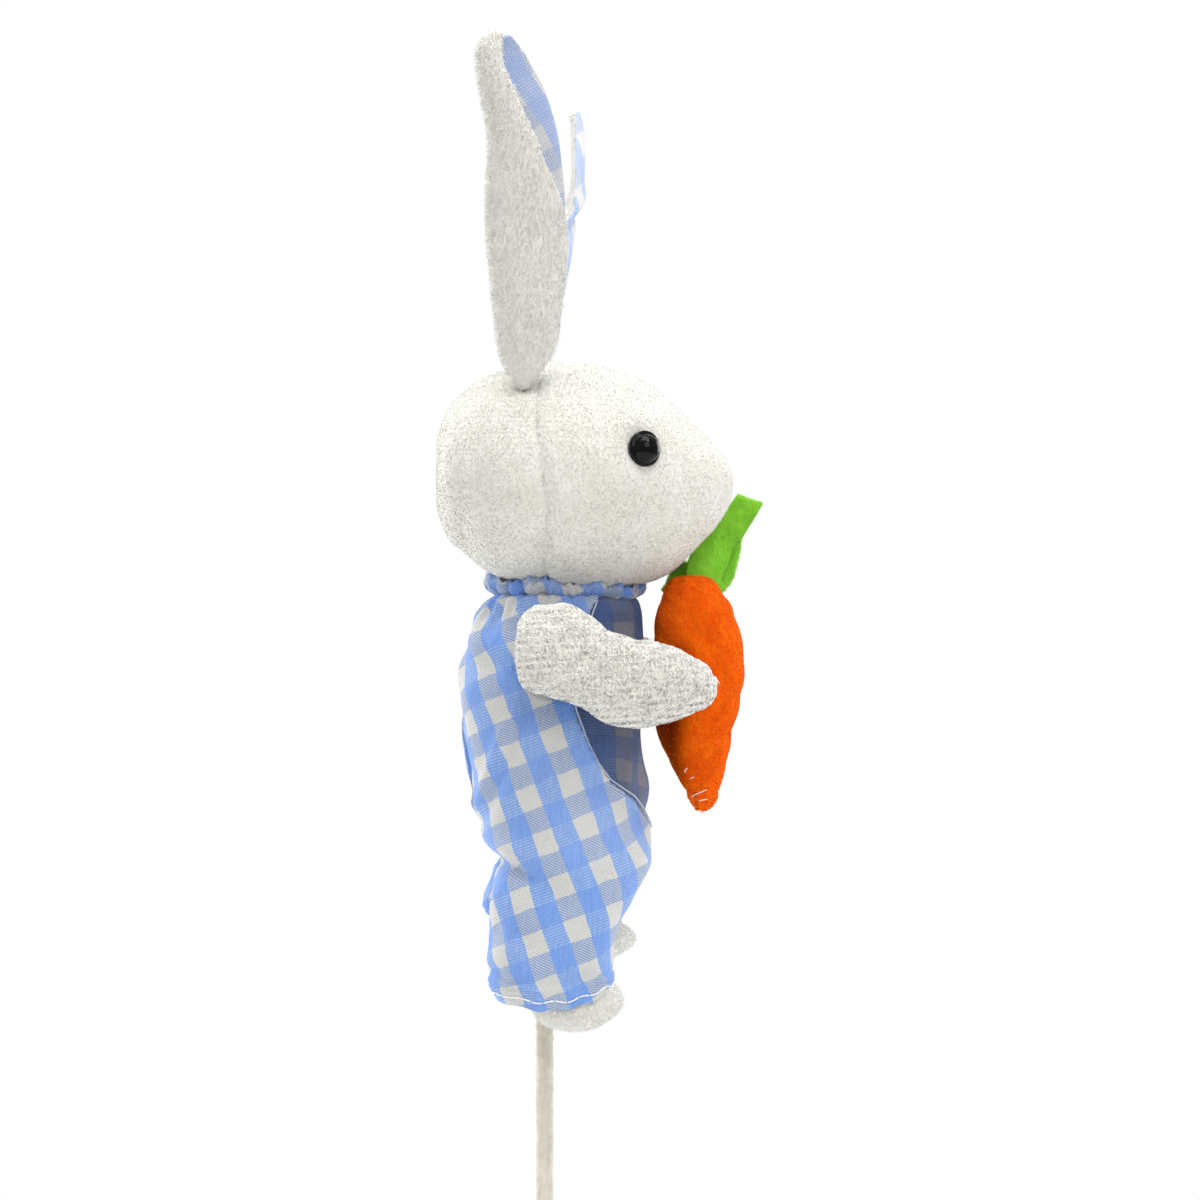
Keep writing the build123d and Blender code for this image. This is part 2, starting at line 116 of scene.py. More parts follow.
WORLD_LIGHT = (0.40, 0.62)  # from below, from above
white_surroundings()
area_light("key", (-1.1, -0.35, 0.95), (0, -0.01, 0.27), (0.8, 0.8), 4.9, (1.0, 0.985, 0.95))
area_light("top", (-0.1, 0.05, 1.35), (0, -0.01, 0.27), (0.8, 0.8), 6.5, (1.0, 0.99, 0.97))
area_light("back_left", (0.75, 0.95, 0.55), (0, -0.01, 0.27), (0.8, 0.8), 15.0)
area_light("back_right", (0.75, -1.0, 0.45), (0, -0.01, 0.27), (0.8, 0.8), 8.0)
area_light("eye_light", (-0.42, -0.34, 1.18), (0, -0.024, 0.305), (0.20, 0.20), 2.2)


# ---- Materials -----------------------------------------------------------------------------
def srgb(red, green, blue):
    """A colour seen on screen, 0 to 255, as the linear numbers that shaders take."""
    parts = [c / 255 for c in (red, green, blue)]
    return tuple(c / 12.92 if c < 0.04045 else ((c + 0.055) / 1.055) ** 2.4 for c in parts) + (1,)


class Shader:
    """A Principled material with short names for the nodes that its patterns use."""

    def __init__(self, name, roughness=0.9, sheen=0.0, specular=0.3, coat=0.0):
        self.material = bpy.data.materials.new(name)
        self.material.use_nodes = True
        self.tree = self.material.node_tree
        self.principled = self.tree.nodes["Principled BSDF"]
        self.principled.inputs["Roughness"].default_value = roughness
        self.principled.inputs["Sheen Weight"].default_value = sheen
        self.principled.inputs["Sheen Roughness"].default_value = 0.6
        self.principled.inputs["Specular IOR Level"].default_value = specular
        self.principled.inputs["Coat Weight"].default_value = coat
        self.principled.inputs["Coat Roughness"].default_value = 0.04

    def feed(self, socket, value):
        """Puts a node's output or a plain value into an input."""
        if isinstance(value, bpy.types.NodeSocket):
            self.tree.links.new(value, socket)
        else:
            socket.default_value = value

    def math(self, operation, *values):
        """One sum on plain numbers or outputs."""
        node = self.tree.nodes.new("ShaderNodeMath")
        node.operation = operation
        for socket, value in zip(node.inputs, values):
            self.feed(socket, value)
        return node.outputs[0]

    def ramp(self, value, low, high, start=0.0, end=1.0):
        """A smooth step of value from low to high."""
        node = self.tree.nodes.new("ShaderNodeMapRange")
        node.interpolation_type = "SMOOTHSTEP"
        for key, number in (("From Min", low), ("From Max", high), ("To Min", start), ("To Max", end)):
            node.inputs[key].default_value = number
        self.feed(node.inputs["Value"], value)
        return node.outputs[0]

    def mix(self, share, first, second):
        """Mixes two colours."""
        node = self.tree.nodes.new("ShaderNodeMix")
        node.data_type = "RGBA"
        self.feed(node.inputs[0], share)
        self.feed(node.inputs[6], first)
        self.feed(node.inputs[7], second)
        return node.outputs[2]

    def place(self, uv=False):
        """The point being shaded: on the cloth in metres, or in the object's space."""
        node = self.tree.nodes.new("ShaderNodeTexCoord")
        return node.outputs["UV" if uv else "Object"]

    def split(self, vector):
        """A vector's parts."""
        node = self.tree.nodes.new("ShaderNodeSeparateXYZ")
        self.feed(node.inputs[0], vector)
        return node.outputs

    def noise(self, scale, detail=3.0, roughness=0.55, place=None, stretch=None):
        """Noise between 0 and 1, with grains of 1/scale metres."""
        place = self.place() if place is None else place
        if stretch:
            node = self.tree.nodes.new("ShaderNodeMapping")
            node.inputs["Scale"].default_value = stretch
            self.feed(node.inputs["Vector"], place)
            place = node.outputs[0]
        node = self.tree.nodes.new("ShaderNodeTexNoise")
        node.inputs["Scale"].default_value = scale
        node.inputs["Detail"].default_value = detail
        node.inputs["Roughness"].default_value = roughness
        self.feed(node.inputs["Vector"], place)
        return node.outputs[0]

    def bump(self, height, depth, strength=1.0):
        """Relief of the given depth in metres."""
        node = self.tree.nodes.new("ShaderNodeBump")
        node.inputs["Strength"].default_value = strength
        node.inputs["Distance"].default_value = depth
        self.feed(node.inputs["Height"], height)
        self.feed(self.principled.inputs["Normal"], node.outputs[0])

    def colour(self, value):
        """The surface colour."""
        self.feed(self.principled.inputs["Base Color"], value)


def gingham(name, pitch_u=10.4, pitch_v=11.0, turn=0.0, shift=(0.0, 0.0), shade=0.0, pale=0.0):
    """Woven check: coloured warp and weft bands that cross, with the threads showing."""
    s = Shader(name, roughness=0.85, sheen=0.15)
    uv = s.split(s.place(uv=True))
    c, d = math.cos(math.radians(turn)), math.sin(math.radians(turn))
    u = s.math("ADD", s.math("MULTIPLY", uv[0], c), s.math("MULTIPLY", uv[1], d))
    v = s.math("SUBTRACT", s.math("MULTIPLY", uv[1], c), s.math("MULTIPLY", uv[0], d))
    u = s.math("ADD", u, shift[0] * MM)
    v = s.math("ADD", v, shift[1] * MM)
    waver = s.math("MULTIPLY", s.math("SUBTRACT", s.noise(170, 3), 0.5), 0.0011)
    bands = []
    for line, pitch in ((u, pitch_u * MM), (v, pitch_v * MM)):
        near = s.math("PINGPONG", s.math("DIVIDE", s.math("ADD", line, waver), pitch), 0.5)
        bands.append(s.ramp(near, 0.238, 0.262))
    fine = 2 * math.pi / (0.62 * MM)
    warp_thread = s.math("SINE", s.math("MULTIPLY", u, fine))
    weft_thread = s.math("SINE", s.math("MULTIPLY", v, fine * 0.93))
    twill = s.math("SINE", s.math("MULTIPLY", s.math("ADD", u, v), fine * 0.8))
    slub = s.noise(60, 4, 0.7, place=s.place(uv=True), stretch=(30, 3, 1))
    hatch = s.ramp(s.math("ADD", twill, s.math("MULTIPLY", s.math("SUBTRACT", slub, 0.5), 2.2)), -0.9, 0.9)
    lines = s.ramp(s.math("ADD", weft_thread, s.math("MULTIPLY", s.math("SUBTRACT", slub, 0.5), 3.0)),
        0.3, 1.3)
    white = s.mix(s.ramp(s.math("MULTIPLY", warp_thread, weft_thread), -0.6, 0.8), srgb(192, 194, 196),
        srgb(226, 226, 223))
    blue = s.mix(s.ramp(slub, 0.25, 0.8), srgb(100, 146, 228), srgb(124, 166, 236))
    blue_warp = s.mix(lines, srgb(116, 158, 228), srgb(176, 198, 236))
    blue_weft = s.mix(hatch, srgb(118, 146, 198), srgb(186, 196, 214))
    without = s.mix(bands[1], white, blue_weft)
    with_warp = s.mix(bands[1], blue_warp, blue)
    fade_and_painted_light = s.mix(s.ramp(s.noise(28, 2), 0.3, 0.7, 0.0, 0.10), s.mix(bands[0], without, with_warp),
        srgb(235, 240, 250))
    # painted shade: the check is darkened towards navy by the share given in shade, as if in shadow
    if shade:
        fade_and_painted_light = s.mix(shade, fade_and_painted_light, srgb(38, 52, 96))
    # painted light: the check is lightened towards white by the share given in pale, as if lit through the
    # cloth
    if pale:
        fade_and_painted_light = s.mix(pale, fade_and_painted_light, srgb(252, 253, 255))
    s.colour(fade_and_painted_light)
    weave = s.math("ADD", s.math("MULTIPLY", warp_thread, 0.5), s.math("MULTIPLY", weft_thread, 0.5))
    s.bump(s.math("ADD", weave, s.math("MULTIPLY", s.noise(420, 2), 1.6)), 0.00012, 0.7)
    return s.material


def plush(name, shade, deep, rows=0.0):
    """The knitted ground under the pile, uneven and soft."""
    s = Shader(name, roughness=1.0, sheen=0.35, specular=0.1)
    grain = s.noise(900, 4, 0.7)
    patches = s.noise(95, 3, 0.6)
    s.colour(s.mix(s.ramp(s.math("ADD", grain, s.math("MULTIPLY", patches, 0.6)), 0.5, 1.05), deep, shade))
    height = s.math("ADD", grain, s.math("MULTIPLY", s.noise(330, 3, 0.6), 1.3))
    if rows:
        lines = s.math("SINE", s.math("MULTIPLY", s.split(s.place())[2], 2 * math.pi / (rows * MM)))
        low = s.ramp(s.noise(36, 2), 0.35, 0.7, 0.0, 0.12)
        height = s.math("ADD", height, s.math("MULTIPLY", lines, low))
    s.bump(height, 0.00055, 0.5)
    return s.material


def fibre(name, shade, roughness=0.75, sheen=0.3):
    """Single fibres, which are too thin for a pattern of their own."""
    s = Shader(name, roughness=roughness, sheen=sheen, specular=0.25)
    s.colour(shade)
    return s.material


def felt(name, bright, dull, dark, painted_shadow=None):
    """Pressed felt: matted fibres with thin and thick places."""
    s = Shader(name, roughness=1.0, sheen=0.6, specular=0.02)
    s.principled.inputs["Sheen Tint"].default_value = bright
    mat = s.noise(750, 5, 0.75, stretch=(1, 1, 0.45))
    blotch = s.noise(130, 3, 0.6)
    tone = s.mix(s.ramp(mat, 0.35, 0.68), dull, bright)
    tone = s.mix(s.ramp(blotch, 0.36, 0.62, 0.42, 0.0), tone, dark)
    if painted_shadow:  # painted shadow: the side towards the belly, under the arm, is painted deep red
        inward = s.ramp(s.split(s.place())[1], -0.0365, -0.0305)
        tone = s.mix(s.math("MULTIPLY", inward, s.ramp(s.split(s.place())[2], 0.262, 0.246, 0.0, 0.93)),
            tone, painted_shadow)
    s.colour(tone)
    s.bump(s.math("ADD", mat, s.math("MULTIPLY", blotch, 0.8)), 0.0006, 0.8)
    return s.material


# painted shade: the knitted ground is a little darker than the pile fibres over it, for the shade among
# them; its patches differ at random
WHITE_PLUSH = plush("plush_short", srgb(240, 239, 234), srgb(224, 222, 215), rows=1.3)
LONG_PLUSH = plush("plush_long", srgb(236, 234, 228), srgb(218, 215, 207))
PILE = fibre("pile_short", srgb(251, 251, 248))
LONG_PILE = fibre("pile_long", srgb(255, 255, 253), roughness=0.4, sheen=1.0)
BLUE_CHECK = gingham("gingham_body", turn=20.0, shift=(-4.0, 0.6))
# painted shade: the bib's check is darkened, for the shadow of the arm and carrot over it
BIB_CHECK_IN_PAINTED_SHADE = gingham("gingham_bib_painted_shade", turn=-6.0, shift=(0.0, 3.0), shade=0.72)
# painted light: the ear lining's check is made paler, for light shining through the thin ear
EAR_CHECK = gingham("gingham_ear", turn=27.0, shift=(-4.5, -1.0), pale=0.3)
# painted shadow: the carrot's belly side under the arm is painted deep red as shade
CARROT_FELT = felt("felt_orange", srgb(255, 120, 16), srgb(252, 98, 8), srgb(206, 50, 3),
    painted_shadow=srgb(78, 0, 2))
CARROT_FUZZ = fibre("fuzz_orange", srgb(255, 126, 24), roughness=0.9, sheen=0.0)
LEAF_FELT = felt("felt_green", srgb(152, 224, 72), srgb(136, 210, 60), srgb(88, 168, 36))
LEAF_FUZZ = fibre("fuzz_green", srgb(164, 230, 90), roughness=0.9, sheen=0.0)
THREAD = fibre("thread_white", srgb(240, 241, 242), roughness=0.5)


# ---- Mesh making ---------------------------------------------------------------------------
def add_mesh(name, verts, faces, material, uvs=None, smooth=True):
    """A new object from points in millimetres. uvs holds one pair in millimetres per corner."""
    mesh = bpy.data.meshes.new(name)
    mesh.from_pydata((np.asarray(verts, float) * MM).tolist(), [], [list(map(int, f)) for f in faces])
    if uvs is not None:
        layer = mesh.uv_layers.new(name="cloth")
        layer.data.foreach_set("uv", (np.asarray(uvs, float) * MM).ravel())
    mesh.polygons.foreach_set("use_smooth", [smooth] * len(mesh.polygons))
    mesh.materials.append(material)
    mesh.update()
    ob = bpy.data.objects.new(name, mesh)
    bpy.context.scene.collection.objects.link(ob)
    return ob


def ring_faces(rows, columns, closed=True):
    """Quads of a grid whose rows are rings, and the same corners with the seam unrolled."""
    faces, corners = [], []
    last = columns if closed else columns - 1
    for i in range(rows - 1):
        for j in range(last):
            k = (j + 1) % columns
            faces.append((i * columns + j, i * columns + k, (i + 1) * columns + k, (i + 1) * columns + j))
            corners.append(((i, j), (i, j + 1), (i + 1, j + 1), (i + 1, j)))
    return faces, corners


def tube(name, rings, material, caps=(True, True), uvs=None):
    """A form through rings of points, closed at its ends where asked. Returns the object."""
    rings = np.asarray(rings, float)
    rows, columns = rings.shape[:2]
    faces, corners = ring_faces(rows, columns)
    if uvs is None:
        steps = np.linalg.norm(np.roll(rings, -1, axis=1) - rings, axis=2)
        u = np.concatenate([np.zeros((rows, 1)), np.cumsum(steps, axis=1)], axis=1)
        u -= u[:, -1:] / 2
        v = np.concatenate([[0], np.cumsum(np.linalg.norm(np.diff(rings.mean(1), axis=0), axis=1))])
        uvs = np.dstack([u, np.repeat(v[:, None], columns + 1, 1)])
    flat = [uvs[i][j] for quad in corners for i, j in quad]
    points = rings.reshape(-1, 3)
    for end, wanted in enumerate(caps):
        if not wanted:
            continue
        row = 0 if end == 0 else rows - 1
        ring = list(range(row * columns, (row + 1) * columns))
        if end == 0:
            ring = ring[::-1]
        middle = len(points)
        points = np.vstack([points, rings[row].mean(0)])
        for j in range(columns):
            a, b = ring[j], ring[(j + 1) % columns]
            faces.append((a, b, middle))
            flat += [uvs[row][a - row * columns], uvs[row][b - row * columns], uvs[row].mean(0)]
    return add_mesh(name, points, faces, material, flat)


def shell(name, grid, low, high, material, uvs, closed=False):
    """A sheet with thickness, between two distances from a grid of points, along its normals."""
    grid = np.asarray(grid, float)
    rows, columns = grid.shape[:2]
    if closed:
        along = np.roll(grid, -1, axis=1) - np.roll(grid, 1, axis=1)
    else:
        along = np.gradient(grid, axis=1)
    normal = np.cross(along, np.gradient(grid, axis=0))
    normal /= np.linalg.norm(normal, axis=2, keepdims=True) + 1e-9
    outer, inner = (grid + normal * np.broadcast_to(k, (rows, columns))[..., None] for k in (high, low))
    faces, corners = ring_faces(rows, columns, closed)
    flat = [uvs[i][j] for quad in corners for i, j in quad]
    count = rows * columns
    back = [tuple(i + count for i in reversed(f)) for f in faces]
    flat += [uvs[i][j] for quad in corners for i, j in reversed(quad)]
    edge = [j for j in range(columns)]
    rim = [[j for j in edge], [(rows - 1) * columns + j for j in reversed(edge)]]
    if closed:
        rim = [r + r[:1] for r in rim]
    else:
        sides = [[i * columns + columns - 1 for i in range(rows)],
            [i * columns for i in reversed(range(rows))]]
        rim = [rim[0], sides[0], rim[1], sides[1]]
    for run in rim:
        for a, b in zip(run, run[1:]):
            back.append((b, a, a + count, b + count))
            pa, pb = uvs[a // columns][a % columns], uvs[b // columns][b % columns]
            flat += [pb, pa, pa, pb]
    return add_mesh(name, np.vstack([outer.reshape(-1, 3), inner.reshape(-1, 3)]), faces + back,
        material, flat)


def smoothstep(x, low, high):
    """0 below low, 1 above high, smooth between."""
    t = np.clip((np.asarray(x, float) - low) / (high - low), 0, 1)
    return t * t * (3 - 2 * t)


def follow(x, table, column):
    """A smooth reading of one column of a table of numbers at x, the table's first column."""
    table = np.asarray(sorted(table), float)
    xs, ys = table[:, 0], table[:, column]
    slope = np.gradient(ys, xs)
    x = np.clip(np.asarray(x, float), xs[0], xs[-1])
    i = np.clip(np.searchsorted(xs, x) - 1, 0, len(xs) - 2)
    h = xs[i + 1] - xs[i]
    t = (x - xs[i]) / h
    return (
        ys[i] * (2 * t**3 - 3 * t**2 + 1)
        + slope[i] * h * (t**3 - 2 * t**2 + t)
        + ys[i + 1] * (3 * t**2 - 2 * t**3)
        + slope[i + 1] * h * (t**3 - t**2)
    )


def lumps(points, size, depth, seed):
    """Slow unevenness of stuffed cloth: a sum of a few waves in all directions."""
    r = np.random.default_rng(seed)
    total = np.zeros(points.shape[:-1])
    for _ in range(9):
        way = r.normal(size=3)
        way /= np.linalg.norm(way) * size * r.uniform(0.7, 1.5) / (2 * math.pi)
        total += np.sin(points @ way + r.uniform(0, 6.28))
    return total * depth / 3


def pile(name, source, count, length, thick, material, groom=(0, 0, 0), spread=0.35, bend=0.0,
    keep=None, seed=1):
    """Fibres that stand on a mesh: thin cones, or bent ones. groom is the way they are stroked."""
    mesh = source.data
    mesh.calc_loop_triangles()
    co = np.empty(len(mesh.vertices) * 3)
    mesh.vertices.foreach_get("co", co)
    co = co.reshape(-1, 3) / MM
    tri = np.empty(len(mesh.loop_triangles) * 3, np.int64)
    mesh.loop_triangles.foreach_get("vertices", tri)
    a, b, c = (co[tri.reshape(-1, 3)[:, k]] for k in range(3))
    normal = np.cross(b - a, c - a)
    area = np.linalg.norm(normal, axis=1)
    normal /= area[:, None] + 1e-12
    if keep is not None:
        area = area * keep((a + b + c) / 3, normal)
    r = np.random.default_rng(seed)
    pick = r.choice(len(area), count, p=area / area.sum())
    s, t = r.random(count), r.random(count)
    over = s + t > 1
    s[over], t[over] = 1 - s[over], 1 - t[over]
    root = a[pick] + (b - a)[pick] * s[:, None] + (c - a)[pick] * t[:, None]
    way = normal[pick] + np.asarray(groom(root) if callable(groom)
        else groom) + r.normal(size=(count, 3)) * spread
    inward = np.sum(way * normal[pick], axis=1, keepdims=True)
    way += normal[pick] * np.maximum(0.35 - inward, 0)
    way /= np.linalg.norm(way, axis=1, keepdims=True)
    side = np.cross(way, r.normal(size=(count, 3)))
    side /= np.linalg.norm(side, axis=1, keepdims=True)
    other = np.cross(way, side)
    size = length * r.uniform(0.6, 1.15, (count, 1))
    width = thick * r.uniform(0.7, 1.3, (count, 1))
    root = root - normal[pick] * 0.15
    base = [root + (side * math.cos(k * 2.0944) + other * math.sin(k * 2.0944)) * width for k in range(3)]
    if bend:
        turned = way + side * bend * r.normal(size=(count, 1)) + np.array([0, 0, -0.25 * bend])
        middle = root + way * size * 0.55
        tip = middle + turned / np.linalg.norm(turned, axis=1, keepdims=True) * size * 0.5
        mids = [p + way * size * 0.55 - (p - root) * 0.3 for p in base]
        points = np.stack(base + mids + [tip], axis=1).reshape(-1, 3)
        pattern = [(0, 1, 4), (0, 4, 3), (1, 2, 5), (1, 5, 4), (2, 0, 3), (2, 3, 5), (3, 4, 6),
            (4, 5, 6), (5, 3, 6)]
        each = 7
    else:
        points = np.stack(base + [root + way * size], axis=1).reshape(-1, 3)
        pattern = [(0, 1, 3), (1, 2, 3), (2, 0, 3)]
        each = 4
    faces = (np.arange(count)[:, None, None] * each + np.array(pattern)[None]).reshape(-1, 3)
    new = bpy.data.meshes.new(name)
    new.vertices.add(len(points))
    new.vertices.foreach_set("co", (points * MM).ravel())
    new.loops.add(faces.size)
    new.loops.foreach_set("vertex_index", faces.ravel())
    new.polygons.add(len(faces))
    new.polygons.foreach_set("loop_start", np.arange(0, faces.size, 3))
    new.polygons.foreach_set("use_smooth", np.ones(len(faces), bool))
    new.update(calc_edges=True)
    new.materials.append(material)
    ob = bpy.data.objects.new(name, new)
    bpy.context.scene.collection.objects.link(ob)
    return ob


def rope(name, points, radius, material, sides=8, closed=False, taper=None):
    """A thin round thread through points in millimetres."""
    p = np.asarray(points, float)
    way = np.roll(p, -1, 0) - np.roll(p, 1, 0) if closed else np.gradient(p, axis=0)
    way /= np.linalg.norm(way, axis=1, keepdims=True) + 1e-12
    side = np.cross(way[0], (0.31, 0.2, 0.93))
    rings = []
    for i, w in enumerate(way):
        side = side - w * (side @ w)
        side = side / np.linalg.norm(side)
        r = radius if taper is None else radius * taper[i]
        angle = np.arange(sides) * 2 * math.pi / sides
        rings.append(p[i] + r * (np.cos(angle)[:, None] * side
                + np.sin(angle)[:, None] * np.cross(w, side)))
    if closed:
        rings.append(rings[0])
    return tube(name, rings, material, (not closed, not closed))


def settle(grid, pinned, closed=True, pressure=1.2, spare=0.03, most=1.2, frames=14, seed=5):
    """Lets a grid of points move as cloth does. It has spare cloth, is held where pinned is 1, and
    no point moves by more than most. Returns the grid in its new place."""
    rows, columns = grid.shape[:2]
    rough = grid[::2, ::2]
    r, c = rough.shape[:2]
    scale = 0.02
    faces, _ = ring_faces(r, c, closed)
    mesh = bpy.data.meshes.new("settling")
    mesh.from_pydata((rough.reshape(-1, 3) * scale).tolist(), [], faces)
    ob = bpy.data.objects.new("settling", mesh)
    bpy.context.scene.collection.objects.link(ob)
    group = ob.vertex_groups.new(name="held")
    weight = np.broadcast_to(pinned, (rows, columns))[::2, ::2].ravel()
    for i, w in enumerate(weight):
        if w > 0.01:
            group.add([i], float(w), "REPLACE")
    cloth = ob.modifiers.new("Cloth", "CLOTH")
    k = cloth.settings
    k.quality, k.mass = 5, 0.25
    k.tension_stiffness = k.compression_stiffness = 18
    k.shear_stiffness, k.bending_stiffness = 6, 0.35
    k.vertex_group_mass = "held"
    k.pin_stiffness = 1.2
    k.shrink_min = -spare
    k.use_pressure, k.uniform_pressure_force = True, pressure
    k.effector_weights.gravity = 0.35
    cloth.collision_settings.use_collision = False
    cloth.collision_settings.use_self_collision = False
    cloth.point_cache.frame_start, cloth.point_cache.frame_end = 1, frames
    scene = bpy.context.scene
    for frame_number in range(1, frames + 1):
        scene.frame_set(frame_number)
    seen = ob.evaluated_get(bpy.context.evaluated_depsgraph_get())
    co = np.empty(len(mesh.vertices) * 3)
    seen.data.vertices.foreach_get("co", co)
    move = co.reshape(r, c, 3) / scale - rough
    bpy.data.objects.remove(ob)
    scene.frame_set(1)
    size = np.linalg.norm(move, axis=2, keepdims=True)
    move *= most * np.tanh(size / most) / (size + 1e-9)
    # back to every point of the full grid, in rows and then in columns
    at = np.clip(np.arange(rows) / 2, 0, r - 1)
    low = np.minimum(at.astype(int), r - 2)
    part = (at - low)[:, None, None]
    move = move[low] * (1 - part) + move[low + 1] * part
    at = np.arange(columns) / 2
    low = at.astype(int)
    high = (low + 1) % c if closed else np.minimum(low + 1, c - 1)
    low = np.minimum(low, c - 1)
    part = (at - low)[None, :, None]
    move = move[:, low] * (1 - part) + move[:, high] * part
    for _ in range(2):
        move[1:-1] = (move[:-2] + 2 * move[1:-1] + move[2:]) / 4
        if closed:
            move = (np.roll(move, 1, 1) + 2 * move + np.roll(move, -1, 1)) / 4
        else:
            move[:, 1:-1] = (move[:, :-2] + 2 * move[:, 1:-1] + move[:, 2:]) / 4
    return grid + move


def goes(ob, body, *nodes, slot=None):
    """The piece rides on a body and stands for CAD nodes, which it hides; slot, its finish, is not used."""
    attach(ob, body)
    if nodes:
        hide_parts(*nodes)
    return ob


def pad(ob):
    """Returns the piece as it is."""
    return ob


def pale_floor():
    """A round floor under the rod that fades out before its edge."""
    angle = np.arange(96) * 2 * math.pi / 96
    rings = [np.stack([r * np.cos(angle), r * np.sin(angle), 0 * angle], axis=1)
        for r in (860, 600, 400, 200, 60)]
    s = Shader("floor_paint", roughness=0.9, specular=0.1)
    speck = s.noise(60, 4, 0.6)
    s.colour(s.mix(s.ramp(speck, 0.3, 0.7), srgb(226, 226, 225), srgb(232, 232, 231)))
    s.bump(speck, 0.0004, 0.3)
    s.principled.inputs["Emission Color"].default_value = (1, 1, 1, 1)
    s.principled.inputs["Emission Strength"].default_value = 0.22
    away = s.tree.nodes.new("ShaderNodeVectorMath")
    away.operation = "LENGTH"
    s.feed(away.inputs[0], s.place())
    s.feed(s.principled.inputs["Alpha"], s.ramp(away.outputs["Value"], 0.30, 0.84, 1.0, 0.0))
    floor = tube("floor", rings, s.material, caps=(False, True))


pale_floor()


def joined(name, pieces):
    """Makes several small pieces one."""
    bpy.ops.object.select_all(action="DESELECT")
    for ob in pieces:
        ob.select_set(True)
    bpy.context.view_layer.objects.active = pieces[0]
    bpy.ops.object.join()
    pieces[0].name = name
    return pieces[0]


# ---- Rod -----------------------------------------------------------------------------------
def wrapped_rod():
    """The rod in its wound tape: overlapping edges climb it in a spiral."""
    z = np.linspace(0, 289, 720)
    angle = np.arange(40) * 2 * math.pi / 40
    zz, aa = np.meshgrid(z, angle, indexing="ij")
    turn = (zz / 6.4 + aa / (2 * math.pi) + 0.12 * np.sin(zz / 11)) % 1.0
    step = 0.16 * (1 - smoothstep(turn, 0.0, 0.10)) * smoothstep(turn, -0.02, 0.0) - 0.10 * turn
    crease = 0.06 * np.sin(zz * 2.3 + 2 * np.sin(aa * 2 + zz / 7)) + 0.05 * np.sin(zz * 5.1 + 3 * aa)
    r = 2.16 + step + crease * 0.7
    r[0], r[-1] = 1.9, 1.9
    rings = np.dstack([r * np.cos(aa), r * np.sin(aa), zz])
    s = Shader("rod_tape", roughness=0.8, sheen=0.1)
    fibres = s.noise(420, 4, 0.7, stretch=(1, 1, 0.2))
    tone = s.mix(s.ramp(fibres, 0.3, 0.7), srgb(202, 197, 184), srgb(228, 224, 213))
    s.colour(s.mix(s.ramp(s.noise(80, 3), 0.35, 0.7, 0.0, 0.35), tone, srgb(188, 180, 162)))
    s.bump(fibres, 0.0002, 0.8)
    return tube("rod_wrapping", rings, s.material)


goes(wrapped_rod(), "torso", "stick_wrap", "stick_rod", slot="wrap_paper")

# ---- Head ----------------------------------------------------------------------------------
HEAD = [  # (forward of the rod's line, underside, top)
    (-27.0, 290.0, 307.0),
    (-25.0, 284.5, 313.0),
    (-20.0, 279.2, 318.8),
    (-10.0, 271.9, 324.6),
    (0.0, 270.0, 326.7),
    (10.0, 269.3, 326.5),
    (20.0, 270.1, 323.8),
    (30.0, 273.8, 318.2),
    (38.0, 281.4, 310.5),
    (43.0, 286.6, 304.6),
    (46.0, 291.6, 300.4),
]
EYE = np.array([23.6, -24.3, 304.3])
EAR_ROOT = np.array([17.0, 3.5, 321.0])
SEAM_TOP, SEAM_LOW = 2.6, -0.6


def head_points():
    """The head as rings from back to nose, with its seams, eye hollows and ear dimples."""
    t = np.linspace(0, math.pi, 130)
    d = 9.6 - 36.6 * np.cos(t)
    angle = np.arange(176) * 2 * math.pi / 176
    dd, aa = np.meshgrid(d, angle, indexing="ij")
    low, high = follow(dd, HEAD, 1), follow(dd, HEAD, 2)
    end = np.sqrt(np.clip(np.sin(t), 0, 1))[:, None] ** 0.01
    half = (high - low) / 2 * end
    taper = np.where(np.sin(t)[:, None] < 0.14, np.sin(t)[:, None] / 0.14, 1) ** 0.5
    half = half * taper
    mid = (high + low) / 2
    wide = half * (1 + 0.035 * smoothstep(dd, 30, -5))
    x = wide * np.sin(aa)
    z = mid + half * np.cos(aa)
    y = -dd
    p = np.dstack([x, y, z])
    centre = np.array([0, -9.0, 298.7])
    out = p - centre
    out /= np.linalg.norm(out, axis=2, keepdims=True)
    move = lumps(p, 26, 0.32, 3) + lumps(p, 11, 0.12, 4) - 0.55
    seam = y - (SEAM_LOW + (SEAM_TOP - SEAM_LOW) * (z - 271) / 55) - 0.5 * np.sin(z / 6.0)
    move -= (0.75 * np.exp(-((seam / 0.6) ** 2)) + 0.5 * np.exp(-((seam / 3.2) ** 2))
        - 0.25 * np.exp(-(((seam + 3.4) / 1.6) ** 2)))
    front = smoothstep(y, 2, -4)
    move -= front * (0.45 * np.exp(-((x / 0.5) ** 2)) + 0.3 * np.exp(-((x / 2.6) ** 2)))
    for side in (-1, 1):
        eye = np.linalg.norm(p - EYE * (side, 1, 1), axis=2)
        move -= 1.5 * np.exp(-((eye / 5.4) ** 2)) - 0.35 * np.exp(-(((eye - 8.5) / 3) ** 2))
        ear = np.linalg.norm(p - EAR_ROOT * (side, 1, 1), axis=2)
        move -= 1.3 * np.exp(-((ear / 5.0) ** 2))
    return p + out * move[..., None]


head = pad(goes(tube("head_cover", head_points(), WHITE_PLUSH), "head", "head_back_panel",
        "face_panel_right", "face_panel_left", "head_stuffing", slot="plush"))


def stroked_back(root):
    """The pile of the head is stroked down and back from the nose."""
    n = np.zeros_like(root)
    n[:, 1], n[:, 2] = 0.25, -0.30
    return n


goes(pile("head_pile", head, 64000, 0.9, 0.09, PILE, stroked_back, 0.45, seed=11), "head", slot="plush")

